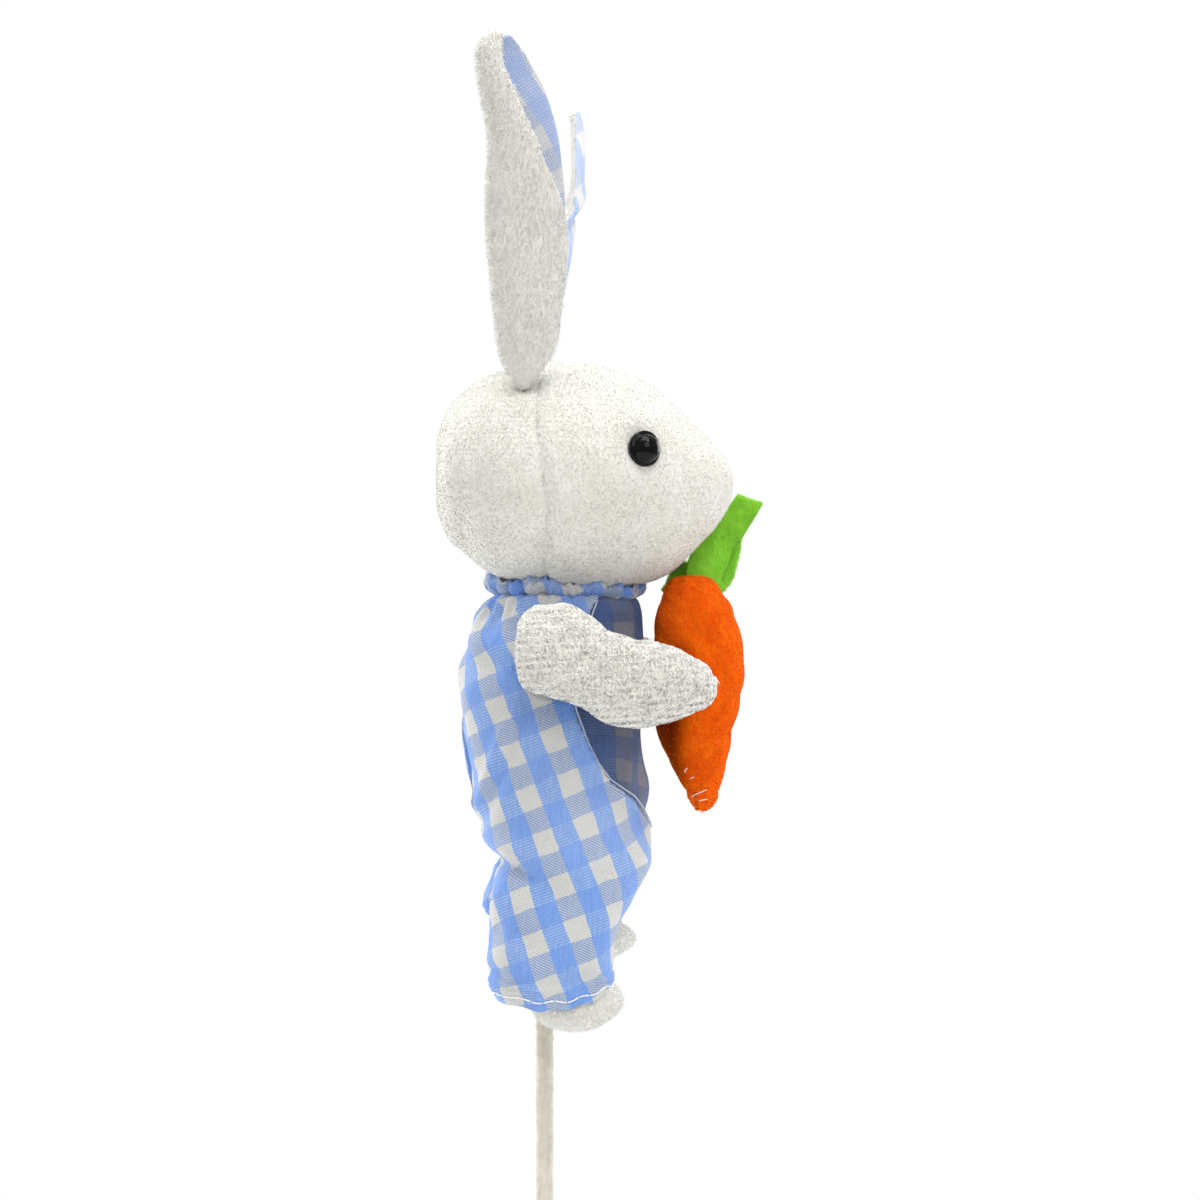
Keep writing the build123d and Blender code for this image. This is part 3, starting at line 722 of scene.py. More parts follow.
# Eyes: a black moulding with a thin rim round a higher dome
s = Shader("eye_black", roughness=0.05, specular=0.2)
s.colour(s.mix(s.ramp(s.noise(400, 3), 0.3, 0.8), srgb(2, 2, 3), srgb(7, 7, 8)))
EYE_BLACK = s.material
EYE_PROFILE = [  # (radius, height above the rim's line)
    (0.0, -1.2), (4.1, -1.2), (4.32, -0.3), (4.32, 0.35), (4.15, 0.62), (3.8, 0.70), (3.55, 0.78),
    (3.42, 1.1), (3.2, 1.75), (2.8, 2.5), (2.1, 3.2), (1.15, 3.6), (0.4, 3.74), (0.02, 3.76),
]
for side, word in ((-1, "right"), (1, "left")):
    turn = math.radians(34)
    out = np.array([side * math.cos(turn), -math.sin(turn), 0.05])
    out /= np.linalg.norm(out)
    up = np.array([0, 0, 1.0]) - out * out[2]
    across = np.cross(out, up)
    angle = np.arange(64) * 2 * math.pi / 64
    rings = [
        EYE * (side, 1, 1) - out * 0.2 + out * h
        + r * (np.cos(angle)[:, None] * across + np.sin(angle)[:, None] * up)
        for r, h in EYE_PROFILE[1:]
    ]
    goes(tube(f"eye_bead_{word}", rings, EYE_BLACK), "head", f"eye_{word}", slot="eye_plastic")


# ---- Nose: satin stitches side by side -----------------------------------------------------
NOSE_THREAD = fibre("thread_nose", srgb(240, 218, 216), roughness=0.5)
stitches = []
for k in range(9):
    x = (k - 4) * 0.55
    half = 1.5 * math.sqrt(1 - (x / 2.9) ** 2)
    a = np.linspace(-1, 1, 9)
    run = np.stack([np.full(9, x), -45.2 - 0.45 * (1 - a**2) + 0.10 * x * x + 0.25 * a,
            298.3 + half * a], axis=1)
    stitches.append(rope("nose_stitch_%d" % k, run, 0.34, NOSE_THREAD))
goes(joined("nose_stitches", stitches), "head", "nose_stitching", slot="nose_thread")

# ---- Ears ----------------------------------------------------------------------------------
RIGHT_EAR = [  # (height, rear fold Y, outer edge Y, inner edge Y, half opening)
    (319.5, 4.4, 3.2, 3.2, 0.8),
    (322.0, 6.4, 1.6, 1.8, 1.7),
    (325.0, 8.2, -1.0, -0.6, 2.6),
    (329.0, 9.4, -3.0, -2.2, 3.0),
    (336.5, 10.4, -4.2, -3.2, 3.4),
    (348.7, 11.6, -5.6, -4.4, 3.6),
    (358.4, 12.4, -5.6, -5.0, 3.6),
    (366.0, 12.4, -3.4, -5.0, 3.6),
    (372.0, 12.0, -0.6, -4.4, 3.6),
    (378.5, 11.8, 1.8, -3.6, 3.5),
    (385.0, 12.8, 4.8, -2.0, 3.3),
    (391.5, 14.0, 7.6, 0.4, 3.0),
    (396.5, 14.6, 9.6, 3.2, 2.5),
    (400.5, 14.0, 9.8, 5.6, 1.8),
    (403.0, 11.6, 9.4, 7.8, 0.8),
]


def ear_sheet(side):
    """The middle surface of one ear, as rows up its length, and the cloth's own measure."""
    t = np.linspace(-1, 1, 57)
    if side < 0:
        h = np.concatenate([np.linspace(319.5, 395, 70), np.linspace(395.7, 403.0, 20)])
        hh, tt = np.meshgrid(h, t, indexing="ij")
        rear, outer, inner, wide = (follow(hh, RIGHT_EAR, k) for k in (1, 2, 3, 4))
        edge = np.where(tt < 0, outer, inner)
        turn = tt * math.pi / 2
        y = rear + (edge - rear) * (1 - np.cos(turn)) ** 0.9
        x = -17.0 - 0.10 * (hh - 322) + wide * np.sin(turn) * (1 + 0.25 * np.cos(turn) ** 2)
        x += 0.5 * np.sin(hh / 9.0) * smoothstep(hh, 330, 350) * np.abs(tt)
        p = np.dstack([x, y, hh])
    else:
        up = np.concatenate([np.linspace(-2, 62, 62), np.linspace(62.8, 71.6, 24)])
        uu, tt = np.meshgrid(up, t, indexing="ij")
        table = [(-2, 2.4), (4, 4.6), (12, 8.6), (26, 12.0), (40, 11.4), (52, 9.4), (60, 7.6),
            (66, 5.6), (69.6, 3.8), (71, 2.2), (71.6, 0.9)]
        half = follow(uu, table, 1)
        lean = 0.36 * uu + 0.0006 * uu**2
        x = 17 + lean + half * tt * 0.97
        spine = [(-2, 3.6), (4, 2.6), (14, -0.6), (28, -4.0), (40, -6.0), (48, -7.6), (56, -8.3),
            (64, -8.2), (71.6, -7.6)]
        y = follow(uu, spine, 1) + 1.7 * (tt**2 - 0.4) * smoothstep(half, 1.5, 6) * smoothstep(uu, 8, 24)
        y += (1.3 * np.exp(-(((uu - 44 - 2.5 * tt) / 2.6) ** 2))
            - 0.8 * np.exp(-(((uu - 49 - 2.5 * tt) / 2.6) ** 2)))
        z = 321 + uu * 0.99 + 1.6 * tt * smoothstep(uu, 0, 40) * smoothstep(uu, 74, 62)
        p = np.dstack([x, y, z])
    steps = np.linalg.norm(np.diff(p, axis=1), axis=2)
    u = np.concatenate([np.zeros((len(p), 1)), np.cumsum(steps, axis=1)], axis=1)
    u -= u[:, 28:29]
    return p, np.dstack([u, p[..., 2] - 322])


EAR_PILE = {
    -1: lambda c, n: smoothstep(c[:, 0] + 17.0 + 0.10 * (c[:, 2] - 322), 2.2, 0.6),
    1: lambda c, n: smoothstep(n[:, 1], 0.0, 0.4),
}
for side, word, body in ((-1, "right", "right_ear"), (1, "left", "left_ear")):
    sheet, cloth = ear_sheet(side)
    thick = 0.25 + 1.25 * (1 - np.abs(np.linspace(-1, 1, 57)) ** 6)
    if side < 0:
        thick[40:] = 0.25 + 0.8 * (1 - np.linspace(0, 1, 17))
    sheet, cloth, thick = sheet[:, ::-1], cloth[:, ::-1], thick[::-1]
    lined = slice(0, -5) if side < 0 else slice(0, None)
    outside = shell(f"ear_back_{word}", sheet, 0.05, thick[None], WHITE_PLUSH, cloth)
    inside = shell(f"ear_front_{word}", sheet[:, lined], -0.75, 0.0, EAR_CHECK, cloth[:, lined])
    goes(outside, body, f"ear_plush_{word}", slot="plush")
    goes(inside, body, f"ear_lining_{word}", slot="gingham")
    goes(pile(f"ear_pile_{word}", outside, 17500, 1.05, 0.13, PILE, (0, -0.2, -0.5), 0.3,
            seed=21 + side, keep=EAR_PILE[side]), body, slot="plush")

# ---- Overalls ------------------------------------------------------------------------------
SIDE = [  # (height, back Y, front Y, half width of the whole body)
    (269.5, 11.6, -21.4, 11.4),
    (268.4, 13.4, -23.0, 13.4),
    (266.0, 15.4, -24.2, 15.2),
    (261.0, 17.2, -25.0, 16.5),
    (254.0, 19.0, -25.0, 17.8),
    (245.0, 19.9, -25.0, 19.6),
    (236.0, 19.7, -25.0, 21.0),
    (227.0, 18.2, -25.0, 22.4),
    (218.0, 16.3, -24.8, 23.6),
    (211.0, 13.8, -25.3, 24.3),
    (206.0, 12.2, -25.5, 24.6),
    (201.0, 12.6, -23.2, 24.6),
    (194.0, 13.8, -19.9, 24.6),
    (187.0, 14.4, -17.8, 24.8),
    (180.0, 14.2, -17.0, 25.0),
    (175.0, 13.2, -17.2, 25.2),
    (171.0, 11.4, -17.2, 25.2),
    (167.6, 9.6, -17.0, 25.2),
]


HEM_LOW = 170.6


def half_overalls(side):
    """One half of the overalls, from the neck to the hem, as rings down its length."""
    low = HEM_LOW if side < 0 else 186.5
    z = np.linspace(269.5, low, 150)
    t = np.arange(132) / 132
    zz, tt = np.meshgrid(z, t, indexing="ij")
    squeeze = zz if side < 0 else 201 - (201 - zz) * (201 - HEM_LOW) / (201 - 186.5) * (zz < 201)
    read = np.where(zz < 201, squeeze, zz) if side > 0 else zz
    back, front, wide = (follow(read, SIDE, k) for k in (1, 2, 3))
    mid, deep = (back + front) / 2, (back - front) / 2
    angle = (tt - 0.25) * 2 * math.pi
    # body: an outer half round from front to back, then a wall near the middle of the rabbit
    share = tt / 0.62
    turn = np.clip(share, 0, 1) * math.pi
    bx = 0.5 + (wide - 0.5) * np.sin(turn) ** 0.86
    by = mid - deep * np.cos(turn)
    inner = np.clip((tt - 0.62) / 0.38, 0, 1)
    bx = np.where(tt > 0.62, 0.5, bx)
    by = np.where(tt > 0.62, back + (front - back) * inner, by)
    # leg: an oval round the leg
    turn = np.where(tt < 0.62, share * math.pi, math.pi + inner * math.pi)
    cx, half = (wide + 3.2) / 2, (wide - 3.2) / 2
    lx = cx + half * np.sign(np.sin(turn)) * np.abs(np.sin(turn)) ** 0.9
    ly = mid - deep * np.cos(turn)
    leg = smoothstep(zz, 220, 197)
    x, y = bx + (lx - bx) * leg, by + (ly - by) * leg
    p = np.dstack([side * x, y, zz])
    # measure of the cloth, from the side line round to the front
    steps = np.linalg.norm(np.roll(p, -1, axis=1) - p, axis=2)
    u = np.concatenate([np.zeros((len(z), 1)), np.cumsum(steps, axis=1)], axis=1)
    at = u[:, 41:42]
    cloth = np.dstack([at - u - mid[:, :1], np.repeat(zz[:, :1] - 200, 133, 1)])
    if side > 0:
        cloth[..., 0] = -cloth[..., 0]
    return p, cloth, angle


EDGE_Z = [205, 210.5, 215.5, 218.5, 220.8, 225, 229, 233.8, 242, 252, 262, 270]
EDGE_Y = [-29, -27, -24.8, -23.4, -21.8, -15.9, -13.0, -10.6, -7.6, -8.0, -10.5, -13.5]


def side_edge(z):
    """Y of the side panel's front edge, which runs down and forward over the bib."""
    return np.interp(z, EDGE_Z, EDGE_Y)


def drape(p, side):
    """Folds, the sunk front under the bib, the armhole and the gathers at the neck."""
    x, y, z = p[..., 0] * side, p[..., 1], p[..., 2]
    out = np.stack([x / 24.0 ** 2, (y + 3) / 22.0 ** 2, 0 * x], axis=-1)
    leg = smoothstep(z, 214, 200)[..., None]
    out_leg = np.stack([(x - 14) / 11.0 ** 2, (y + 1) / 15.0 ** 2, 0 * x], axis=-1)
    out = out * (1 - leg) + out_leg * leg
    out /= np.linalg.norm(out, axis=-1, keepdims=True) + 1e-9
    outer = smoothstep(x, 3, 8)
    move = lumps(p, 30, 0.55, 31 + side) + lumps(p, 13, 0.22, 41 + side)
    front = smoothstep(side_edge(z) - y, -0.25, 0.35) * smoothstep(z, 206, 211)
    move -= 2.6 * front + 3.4 * front * smoothstep(z, 208, 216) * smoothstep(side_edge(z) - y, 0.3, 2.5)
    edge = side_edge(z) - y
    move += 0.5 * np.exp(-(((edge + 0.9) / 0.8) ** 2)) * smoothstep(z, 206, 211) * outer
    hole = np.sqrt((y + 3.5) ** 2 * 0.9 + (z - 257) ** 2)
    move -= 3.2 * np.exp(-((hole / 9.5) ** 4)) * outer
    move += 0.9 * np.exp(-(((hole - 12.5) / 1.6) ** 2)) * outer * smoothstep(y, -8, 2)
    # pull folds fan out from the armhole over the back
    ray = np.arctan2(z - 257, y + 3.5)
    move += 0.75 * np.sin(ray * 9 + 0.8) * np.exp(-(((hole - 17) / 7.5) ** 2)) * outer * smoothstep(y,
        -4, 6)
    move += 0.55 * np.sin(np.arctan2(y + 3, x) * 26) * smoothstep(z, 259, 268)
    # the seat folds over the top of the leg behind, and the knee breaks once
    seat = z - (206.5 + 0.42 * (y - 10))
    behind = smoothstep(y, -2, 9)
    move += behind * (1.3 * np.exp(-(((seat - 3.5) / 3.0) ** 2))
        - 1.9 * np.exp(-(((seat + 1.2) / 1.8) ** 2)))
    fold = (y - 13.5) + 0.34 * (z - 226)
    move += 1.15 * np.exp(-((fold / 1.5) ** 2)) * smoothstep(z, 208, 216) * smoothstep(z, 252, 238)
    move -= 0.9 * np.exp(-(((fold + 3.0) / 1.6) ** 2)) * smoothstep(z, 208, 216) * smoothstep(z, 252, 238)
    crease = (y + 12) - 0.5 * (z - 205)
    move -= 0.7 * np.exp(-((crease / 2.2) ** 2)) * smoothstep(z, 186, 196) * smoothstep(z, 216, 208) * outer
    hem = p[..., 2].min()
    move += 0.35 * np.exp(-(((z - hem - 4.3) / 1.3) ** 2)) - 0.45 * np.exp(-(((z - hem - 4.1) / 0.45) ** 2))
    q = p + out * [side, 1, 1] * move[..., None]
    # the hem hangs lower at the side than at its front and back
    sag = smoothstep(z, hem + 14, hem)
    q[..., 2] += sag * ((0.020 * (y + 1.5) ** 2) * (1 - 0.35 * (y > 0)) - 0.6
        + 0.35 * np.sin(y * 0.9 + x * 0.4))
    return q


HEMS = {}


def half_piece(side, word):
    """Settles one half and makes it a piece."""
    rings, cloth, _ = half_overalls(side)
    rings = drape(rings, side)
    z, x = rings[..., 2], rings[..., 0] * side
    hem = z.min()
    held = np.maximum.reduce([
        smoothstep(z, 262, 267),
        smoothstep(z, hem + 6, hem + 3),
        smoothstep(x, 3, 1) * 0.8,
        0.55 * np.exp(-((np.hypot(rings[..., 1] + 3.5, z - 257) / 12) ** 4)),
    ])
    if side > 0:
        rings, cloth, held = rings[:, ::-1], cloth[:, ::-1], held[:, ::-1]
    rings = settle(rings, held)
    HEMS[word] = rings[int(np.argmin(np.abs(rings[..., 2].mean(1) - (hem + 4.2))))] + 0.0
    piece = shell(f"overalls_{word}", rings, -0.40, 0.05, BLUE_CHECK, cloth, closed=True)
    return piece


for side, word in ((-1, "right"), (1, "left")):
    overalls = half_piece(side, word)
    inside = ("overalls_back", "torso_bag", "torso_stuffing") if side < 0 else ("overalls_front",
        "crotch_tab")
    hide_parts(f"trouser_leg_{word}", *inside)
    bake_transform(overalls)

# Hem: one row of running stitches round each trouser leg
for side, word in ((-1, "right"), (1, "left")):
    line = HEMS[word]
    turns = np.linspace(0, len(line), 27)[:-1]
    stitches = []
    for k, start in enumerate(turns):
        at = (start + np.linspace(0.03, 0.92, 10) * len(line) / 26) % len(line)
        low = at.astype(int)
        part = (at - low)[:, None]
        run = line[low] * (1 - part) + line[(low + 1) % len(line)] * part
        away = run - line.mean(0)
        away[:, 2] = 0
        run += away / np.linalg.norm(away, axis=1,
            keepdims=True) * (0.16 + 0.14 * np.sin(np.linspace(0, math.pi, 10)))[:, None]
        stitches.append(rope(f"hem_stitch_{k}", run, 0.19, THREAD, sides=6))
    goes(joined(f"hem_stitches_{word}", stitches), f"{word}_leg", slot="thread")

# Bib: the front panel under the two side panels, its check painted darker as shade
z = np.linspace(268.5, 213, 90)
turn = np.radians(np.linspace(-76, 76, 91))
zz, aa = np.meshgrid(z, turn, indexing="ij")
back, front, wide = (follow(zz, SIDE, k) for k in (1, 2, 3))
bib = np.dstack([
    (wide - 2.4) * np.sign(aa) * np.abs(np.sin(aa)) ** 0.86,
    (back + front) / 2 - ((back - front) / 2 - 1.4) * np.cos(aa),
    zz,
])
bulge = np.exp(-(((zz - 222) / 6) ** 2)) * np.exp(-(((bib[..., 0] - 5) / 7) ** 2))
pleats = 0.45 * np.sin(aa * 15 + 0.06 * zz) * smoothstep(zz, 240,
    262) + 0.5 * np.sin(aa * 9 - 0.22 * zz) * smoothstep(zz, 236, 224)
bib[..., 1] -= 2.4 * bulge + pleats * np.cos(aa)
bib[..., 1] += 3.0 * smoothstep(zz, 217, 213)
cloth = np.dstack([bib[..., 0], zz - 240])
bib = settle(bib, np.maximum(smoothstep(zz, 264, 267), smoothstep(np.abs(aa), 1.15, 1.25)),
    closed=False, pressure=0.6)
panel = goes(shell("bib", bib, -0.4, 0.05, BIB_CHECK_IN_PAINTED_SHADE, cloth), "torso", slot="gingham")

# Light piping along each side panel's front edge
PIPING = fibre("piping", srgb(186, 196, 216), roughness=0.8)
for side, word in ((-1, "right"), (1, "left")):
    run = []
    for h in np.linspace(268, 213, 70):
        y = float(side_edge(h)) - 0.15
        back, front, wide = (float(follow(h, SIDE, k)) for k in (1, 2, 3))
        mid, deep = (back + front) / 2, (back - front) / 2
        c = np.clip((mid - y) / deep, -0.97, 0.97)
        run.append((side * (0.5 + (wide - 0.3) * math.sin(math.acos(c)) ** 0.86), y, h))
    goes(rope(f"piping_{word}", run, 0.22, PIPING), "torso", slot="gingham")

# ---- Neck: gathers above their thread -------------------------------------------------------
angle = np.arange(360) * 2 * math.pi / 360
rings, cloth = [], []
uneven = lumps(np.stack([12 * np.sin(angle), 18 * np.cos(angle), 0 * angle], axis=1), 9, 0.6, 66)
for h, grow in ((266.4, -2.0), (267.6, -1.9), (268.8, -0.8), (269.7, 0.9), (270.6, 1.4), (271.6, 1.3),
    (272.5, 0.9)):
    wave = ((np.sin(angle * 21 + 1.1 * np.sin(angle * 3) + 0.7 * np.sin(angle * 8)) * (0.3
                + 0.09 * (h - 266))) * (1 + 0.4 * np.sin(angle * 5)))
    ragged = 0.35 * np.sin(angle * 61) + 0.25 * np.sin(angle * 37 + 1) + uneven
    rx, ry = 11.8 + grow + wave, 17.6 + grow + wave
    lift = ragged * smoothstep(h, 267, 271)
    back_up = smoothstep(-np.cos(angle), 0.2, 1.0) * (h - 265.2) * 0.16 - smoothstep(np.cos(angle), 0.3,
        0.7) * smoothstep(np.cos(angle), 1.0, 0.75) * (h - 265.2) * 0.10
    rings.append(np.stack([rx * np.sin(angle), -5.0 - ry * np.cos(angle), h + lift + back_up], axis=1))
    cloth.append(np.stack([np.append(angle, 2 * math.pi) * 21, np.full(361, h * 1.6)], axis=1))
frill = shell("neck_gathers", rings, -0.3, 0.05, BLUE_CHECK, cloth, closed=True)
goes(frill, "torso", "neck_frill", slot="gingham")
FRAY_WHITE = fibre("fray_white", srgb(236, 240, 246))
FRAY_BLUE = fibre("fray_blue", srgb(122, 160, 226))
for word, shade, seed in (("white", FRAY_WHITE, 61), ("blue", FRAY_BLUE, 62)):
    goes(pile(f"neck_fray_{word}", frill, 260, 2.0, 0.07, shade, (0, 0, 0.9), 0.9, bend=0.9, seed=seed,
              keep=lambda c, n: smoothstep(c[:, 2], 270.4, 271.2)), "torso", slot="thread")
band = [( (11.0 + 0.3 * math.sin(23 * a)) * math.sin(a),
        -4.3 - (18.0 + 0.3 * math.sin(23 * a)) * math.cos(a), 266.9 - 0.9 * math.cos(a) ** 2)
        for a in np.linspace(0, 2 * math.pi, 240, endpoint=False)]
goes(rope("neck_thread", band, 0.42, THREAD, closed=True), "torso", "neck_gather_thread", slot="thread")

# ---- Arms ----------------------------------------------------------------------------------
ARM = [  # (forward, middle height, half height, sideways, half width)
    (-6.6, 255.5, 2.0, 26.4, 2.2),
    (-6.2, 255.5, 5.4, 26.5, 5.2),
    (-5.2, 255.7, 7.8, 26.6, 7.2),
    (-3.0, 256.2, 9.8, 26.7, 8.6),
    (0.5, 256.2, 10.8, 26.7, 9.4),
    (5.0, 255.7, 11.5, 26.4, 9.7),
    (10.0, 253.7, 11.4, 25.9, 9.6),
    (15.5, 250.2, 10.9, 25.0, 9.3),
    (20.0, 248.7, 10.7, 24.2, 9.2),
    (26.0, 248.2, 10.0, 22.5, 9.0),
    (31.5, 247.9, 8.6, 20.8, 8.2),
    (36.0, 247.6, 6.9, 19.2, 6.9),
    (39.5, 247.5, 4.4, 18.4, 4.6),
    (41.3, 247.5, 1.6, 18.0, 1.8),
]


def clump(root, size=0.55):
    """A slow waver of direction, so that neighbouring fibres lean together."""
    r = np.random.default_rng(17)
    way = np.zeros_like(root)
    for _ in range(6):
        step = r.normal(size=3)
        step /= np.linalg.norm(step) * r.uniform(1.3, 3.2) / (2 * math.pi)
        way += np.sin(root @ step + r.uniform(0, 6.28))[:, None] * r.normal(size=3)
    return way * size / 3


for side, word in ((-1, "right"), (1, "left")):
    t = np.linspace(0, math.pi, 84)
    d = 17.35 - 23.95 * np.cos(t)
    angle = np.arange(96) * 2 * math.pi / 96
    dd, aa = np.meshgrid(d, angle, indexing="ij")
    mid, tall, off, broad = (follow(dd, ARM, k) for k in (1, 2, 3, 4))
    p = np.dstack([
        side * (off + broad * np.sin(aa)),
        -dd,
        mid + tall * np.sign(np.cos(aa)) * np.abs(np.cos(aa)) ** 0.93,
    ])
    out = np.dstack([side * np.sin(aa), 0 * aa, np.cos(aa)])
    p += out * (lumps(p, 18, 0.35, 51) + lumps(p, 8, 0.15, 52))[..., None]
    if side < 0:
        p = p[:, ::-1]
    ends = smoothstep(np.arange(84), 4, 1) + smoothstep(np.arange(84), 79, 82)
    p = settle(p, np.maximum(ends[:, None], 0.25), pressure=0.9, spare=0.02, most=0.6)
    arm = goes(tube(f"arm_{word}", p, LONG_PLUSH), "arms", f"arm_plush_{word}", f"arm_stuffing_{word}",
        slot="plush")
    pad(arm)
    goes(pile(f"arm_pile_{word}", arm, 21500, 2.2, 0.20, LONG_PILE,
              lambda root: np.array([0, -0.45, -0.15]) + clump(root, 0.8), 0.22, bend=0.35,
              seed=71 + side), "arms", slot="plush")

# ---- Carrot --------------------------------------------------------------------------------
CARROT = [  # (height, rear Y, front Y)
    (273.9, -34.6, -37.2),
    (273.5, -32.6, -39.0),
    (272.3, -31.0, -40.8),
    (270.0, -29.4, -42.6),
    (267.2, -28.0, -45.2),
    (263.5, -26.8, -46.8),
    (259.0, -26.6, -47.9),
    (251.0, -26.7, -48.3),
    (243.5, -27.2, -47.3),
    (236.4, -27.9, -45.8),
    (231.4, -29.6, -44.9),
    (226.0, -31.8, -43.6),
    (222.0, -33.5, -42.5),
    (219.0, -35.0, -41.5),
    (217.2, -36.6, -40.1),
    (216.7, -37.7, -39.2),
]
t = np.linspace(0, 1, 130)
h = 273.9 - 57.2 * (0.5 - 0.5 * np.cos(math.pi * t)) ** 0.95
angle = np.arange(120) * 2 * math.pi / 120
hh, aa = np.meshgrid(h, angle, indexing="ij")
rear, front = follow(hh, CARROT, 1), follow(hh, CARROT, 2)
half = (rear - front) / 2
broad = half * (1 + 0.05 * smoothstep(hh, 220, 245))
p = np.dstack([broad * np.cos(aa), (rear + front) / 2 + half * np.sin(aa), hh])
out = np.dstack([np.cos(aa), np.sin(aa), 0 * aa])
gather = 0.35 * np.sin(aa * 9 + 0.7) * (smoothstep(hh, 267, 273) + smoothstep(hh, 223, 217.5))
move = gather + lumps(p, 22, 0.4, 81) + lumps(p, 9, 0.14, 82)
seam = aa - math.pi * 0.28
move -= 0.5 * np.exp(-((seam * half / 0.5) ** 2)) + 0.25 * np.exp(-((seam * half / 2.2) ** 2))
p += out * move[..., None]
ends = smoothstep(hh, 271, 273) + smoothstep(hh, 220, 217.5)
p = settle(p[:, ::-1], np.maximum(ends, 0.25)[:, ::-1], pressure=0.9, spare=0.02, most=0.5)
carrot = pad(goes(tube("carrot", p[::-1], CARROT_FELT), "arms", "carrot_felt", "carrot_stuffing",
        slot="orange_felt"))
# the fuzz is thinned on the belly side below the arm, over the painted shadow
goes(pile("carrot_fuzz", carrot, 22000, 1.35, 0.06, CARROT_FUZZ, clump, 0.9, bend=0.45,
          keep=lambda c, n: 1 - 0.93 * smoothstep(c[:, 1], -37.5, -34) * smoothstep(c[:, 2], 262, 250),
          seed=83), "arms", slot="orange_felt")
TIP = np.array([0, -38.6, 216.9])
loop = [TIP + (1.5 * math.sin(a), 0.3 + 1.5 * math.cos(a), 0.55 + 0.5 * math.sin(2 * a))
    for a in np.linspace(0, 2 * math.pi, 40, endpoint=False)]
knot = rope("carrot_knot", loop, 0.28, CARROT_FUZZ, closed=True)
goes(knot, "arms", "carrot_tip_knot", slot="thread")
stitches = []
for k, (around, low, high,
    spread) in enumerate(((171, 220.2, 222.0, 26), (186, 219.3, 219.7, 16), (150, 226.2, 227.3, 4),
        (160, 224.6, 225.1, 5))):
    run = []
    for part in np.linspace(0, 1, 9):
        level = low + (high - low) * part
        a = math.radians(around + spread * (part - 0.5) * 2)
        rear, front = float(follow(level, CARROT, 1)), float(follow(level, CARROT, 2))
        r = (rear - front) / 2 + 0.25 + 0.5 * math.sin(math.pi * part)
        run.append((r * math.cos(a), (rear + front) / 2 + r * math.sin(a), level))
    stitches.append(rope(f"carrot_stitch_{k}", run, 0.11, THREAD))
goes(joined("carrot_stitches", stitches), "arms", slot="thread")

# ---- Carrot leaves -------------------------------------------------------------------------
LEAVES = (
    # name, points along its middle, direction of its width, width at each point
    ("leaf_front", ((2.6, -37.8, 269.6), (6.0, -39.4, 276.0), (9.5, -42.5, 281.6), (9.0, -46.4, 287.1),
            (7.0, -50.5, 293.0)),
     ((0, 0.93, 0.36), (-0.2, 0.88, 0.46), (-0.3, 0.84, 0.5), (-0.1, 0.82, 0.56), (0.1, 0.93, 0.36)),
     (8.0, 9.6, 9.0, 7.2, 6.3)),
    ("leaf_middle", ((5.0, -41.0, 269.8), (8.0, -43.6, 273.0), (10.4, -45.3, 276.6),
            (11.2, -46.5, 280.2), (11.0, -47.2, 283.5)),
     ((0.5, 0.85, 0.3), (0.55, 0.8, 0.25), (0.65, 0.72, 0.2), (0.75, 0.62, 0.15), (0.8, 0.6, 0.1)),
     (3.6, 4.6, 4.6, 3.8, 2.6)),
    ("leaf_rear", ((2.2, -37.0, 270.5), (3.8, -35.8, 273.6), (5.6, -33.6, 275.0), (6.4, -31.2, 273.8),
            (6.6, -29.4, 271.6)),
     ((0.35, 0.5, 0.75), (0.4, 0.3, 0.85), (0.45, 0.1, 0.9), (0.5, -0.1, 0.85), (0.5, -0.3, 0.8)),
     (5.6, 6.4, 6.2, 5.2, 3.6)),
)
for name, middle, across, widths in LEAVES:
    knots = np.linspace(0, 1, 5)
    t = np.linspace(0, 1, 46)
    line = np.stack([follow(t, np.column_stack([knots, middle]).tolist(), k) for k in (1, 2, 3)], axis=1)
    way = np.stack([follow(t, np.column_stack([knots, across]).tolist(), k) for k in (1, 2, 3)], axis=1)
    way /= np.linalg.norm(way, axis=1, keepdims=True)
    size = follow(t, np.column_stack([knots, widths]).tolist(), 1)
    u = np.linspace(-0.5, 0.5, 17)
    grid = line[:, None] + way[:, None] * (u[None, :, None] * size[:, None, None])
    bow = np.cross(np.gradient(line, axis=0), way)
    bow /= np.linalg.norm(bow, axis=1, keepdims=True)
    curl = 0.5 * (1 - (2 * u) ** 2)[None] * np.ones_like(t)[:, None] + 0.25 * np.sin(t * 9)[:,
        None] * u[None] * 2
    grid = grid + bow[:, None] * curl[..., None]
    cloth = np.dstack([np.broadcast_to(u[None] * 6, (46, 17)), np.broadcast_to(t[:, None] * 22, (46, 17))])
    leaf = goes(shell(f"{name}_cut", grid, -0.5, 0.5, LEAF_FELT, cloth), "arms", name, slot="green_felt")
    goes(pile(f"{name}_fuzz", leaf, 4200, 0.8, 0.06, LEAF_FUZZ, clump, 0.9, bend=0.4, seed=91), "arms",
        slot="green_felt")

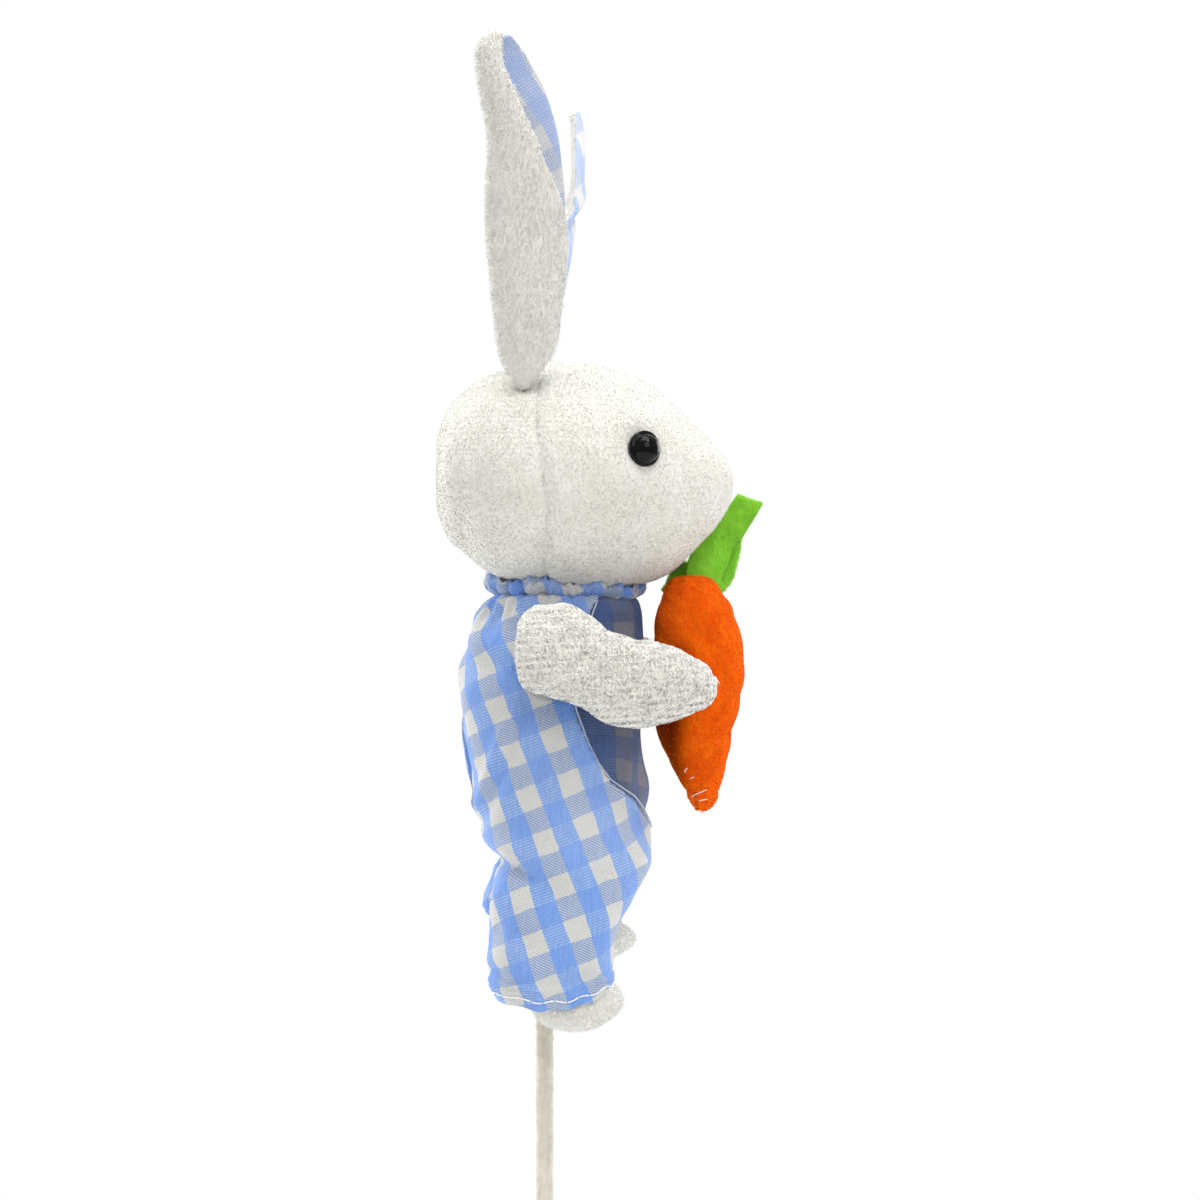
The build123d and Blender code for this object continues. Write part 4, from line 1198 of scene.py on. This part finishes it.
# ---- Legs ----------------------------------------------------------------------------------
LEG = [  # (height, rear Y, front Y, half width)
    (164.6, -6.9, -8.3, 0.8),
    (165.1, -3.6, -11.4, 4.4),
    (166.6, 0.2, -14.6, 7.0),
    (168.8, 2.0, -17.2, 8.4),
    (171.4, 3.2, -18.5, 8.9),
    (174.0, 3.8, -17.8, 9.0),
    (177.0, 4.0, -15.6, 8.9),
    (184.0, 4.6, -14.2, 8.8),
    (192.0, 5.0, -13.6, 8.8),
    (202.0, 4.8, -13.6, 8.8),
    (210.0, 3.6, -12.4, 8.0),
    (215.0, -0.4, -8.6, 4.0),
    (216.0, -3.6, -5.4, 1.0),
]
for side, word in ((-1, "right"), (1, "left")):
    t = np.linspace(0, math.pi, 90)
    h = 190.3 - 25.7 * np.cos(t)
    angle = np.arange(84) * 2 * math.pi / 84
    hh, aa = np.meshgrid(h, angle, indexing="ij")
    rear, front, broad = (follow(hh, LEG, k) for k in (1, 2, 3))
    z = hh if side < 0 else hh + 15.5 * (216 - hh) / 53
    y = (rear + front) / 2 + (rear - front) / 2 * np.sin(aa)
    if side > 0:
        y -= 3.4 * smoothstep(hh, 190, 172)
    p = np.dstack([side * 14.0 + broad * np.cos(aa), y, z])
    out = np.dstack([np.cos(aa), np.sin(aa), 0 * aa])
    p += out * lumps(p, 15, 0.25, 101)[..., None]
    leg = goes(tube(f"leg_{word}", p, WHITE_PLUSH), f"{word}_leg", f"leg_plush_{word}",
        f"leg_stuffing_{word}", slot="plush")
    pad(leg)
    goes(pile(f"foot_pile_{word}", leg, 9000, 1.0, 0.16, PILE, (0, -0.3, -0.3), 0.35, seed=111 + side,
              keep=lambda c, n, s=side: smoothstep(c[:, 2], 186 if s < 0 else 200,
                  182 if s < 0 else 196)), f"{word}_leg", slot="plush")

# ---- Threads, glue and what is inside --------------------------------------------------------
INNER = Shader("inner_fibre", roughness=0.9)
INNER.colour(INNER.mix(INNER.ramp(INNER.noise(500, 4), 0.3, 0.7), srgb(226, 226, 224), srgb(242, 242, 240)))
INNER.bump(INNER.noise(900, 3), 0.0003, 0.6)
GLUE = Shader("hot_glue", roughness=0.25, specular=0.5)
GLUE.colour(GLUE.mix(GLUE.ramp(GLUE.noise(300, 3), 0.3, 0.7), srgb(232, 230, 220), srgb(246, 245, 240)))
GLUE.bump(GLUE.noise(400, 2), 0.0003, 0.4)
for name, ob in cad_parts.items():
    if ob.hide_render:
        continue
    finish = GLUE if "glue" in name or "washer" in name else INNER
    ob.data.materials.clear()
    ob.data.materials.append(finish.material)

cad_box = [[float(c) for c in corner] for corner in cad_box]
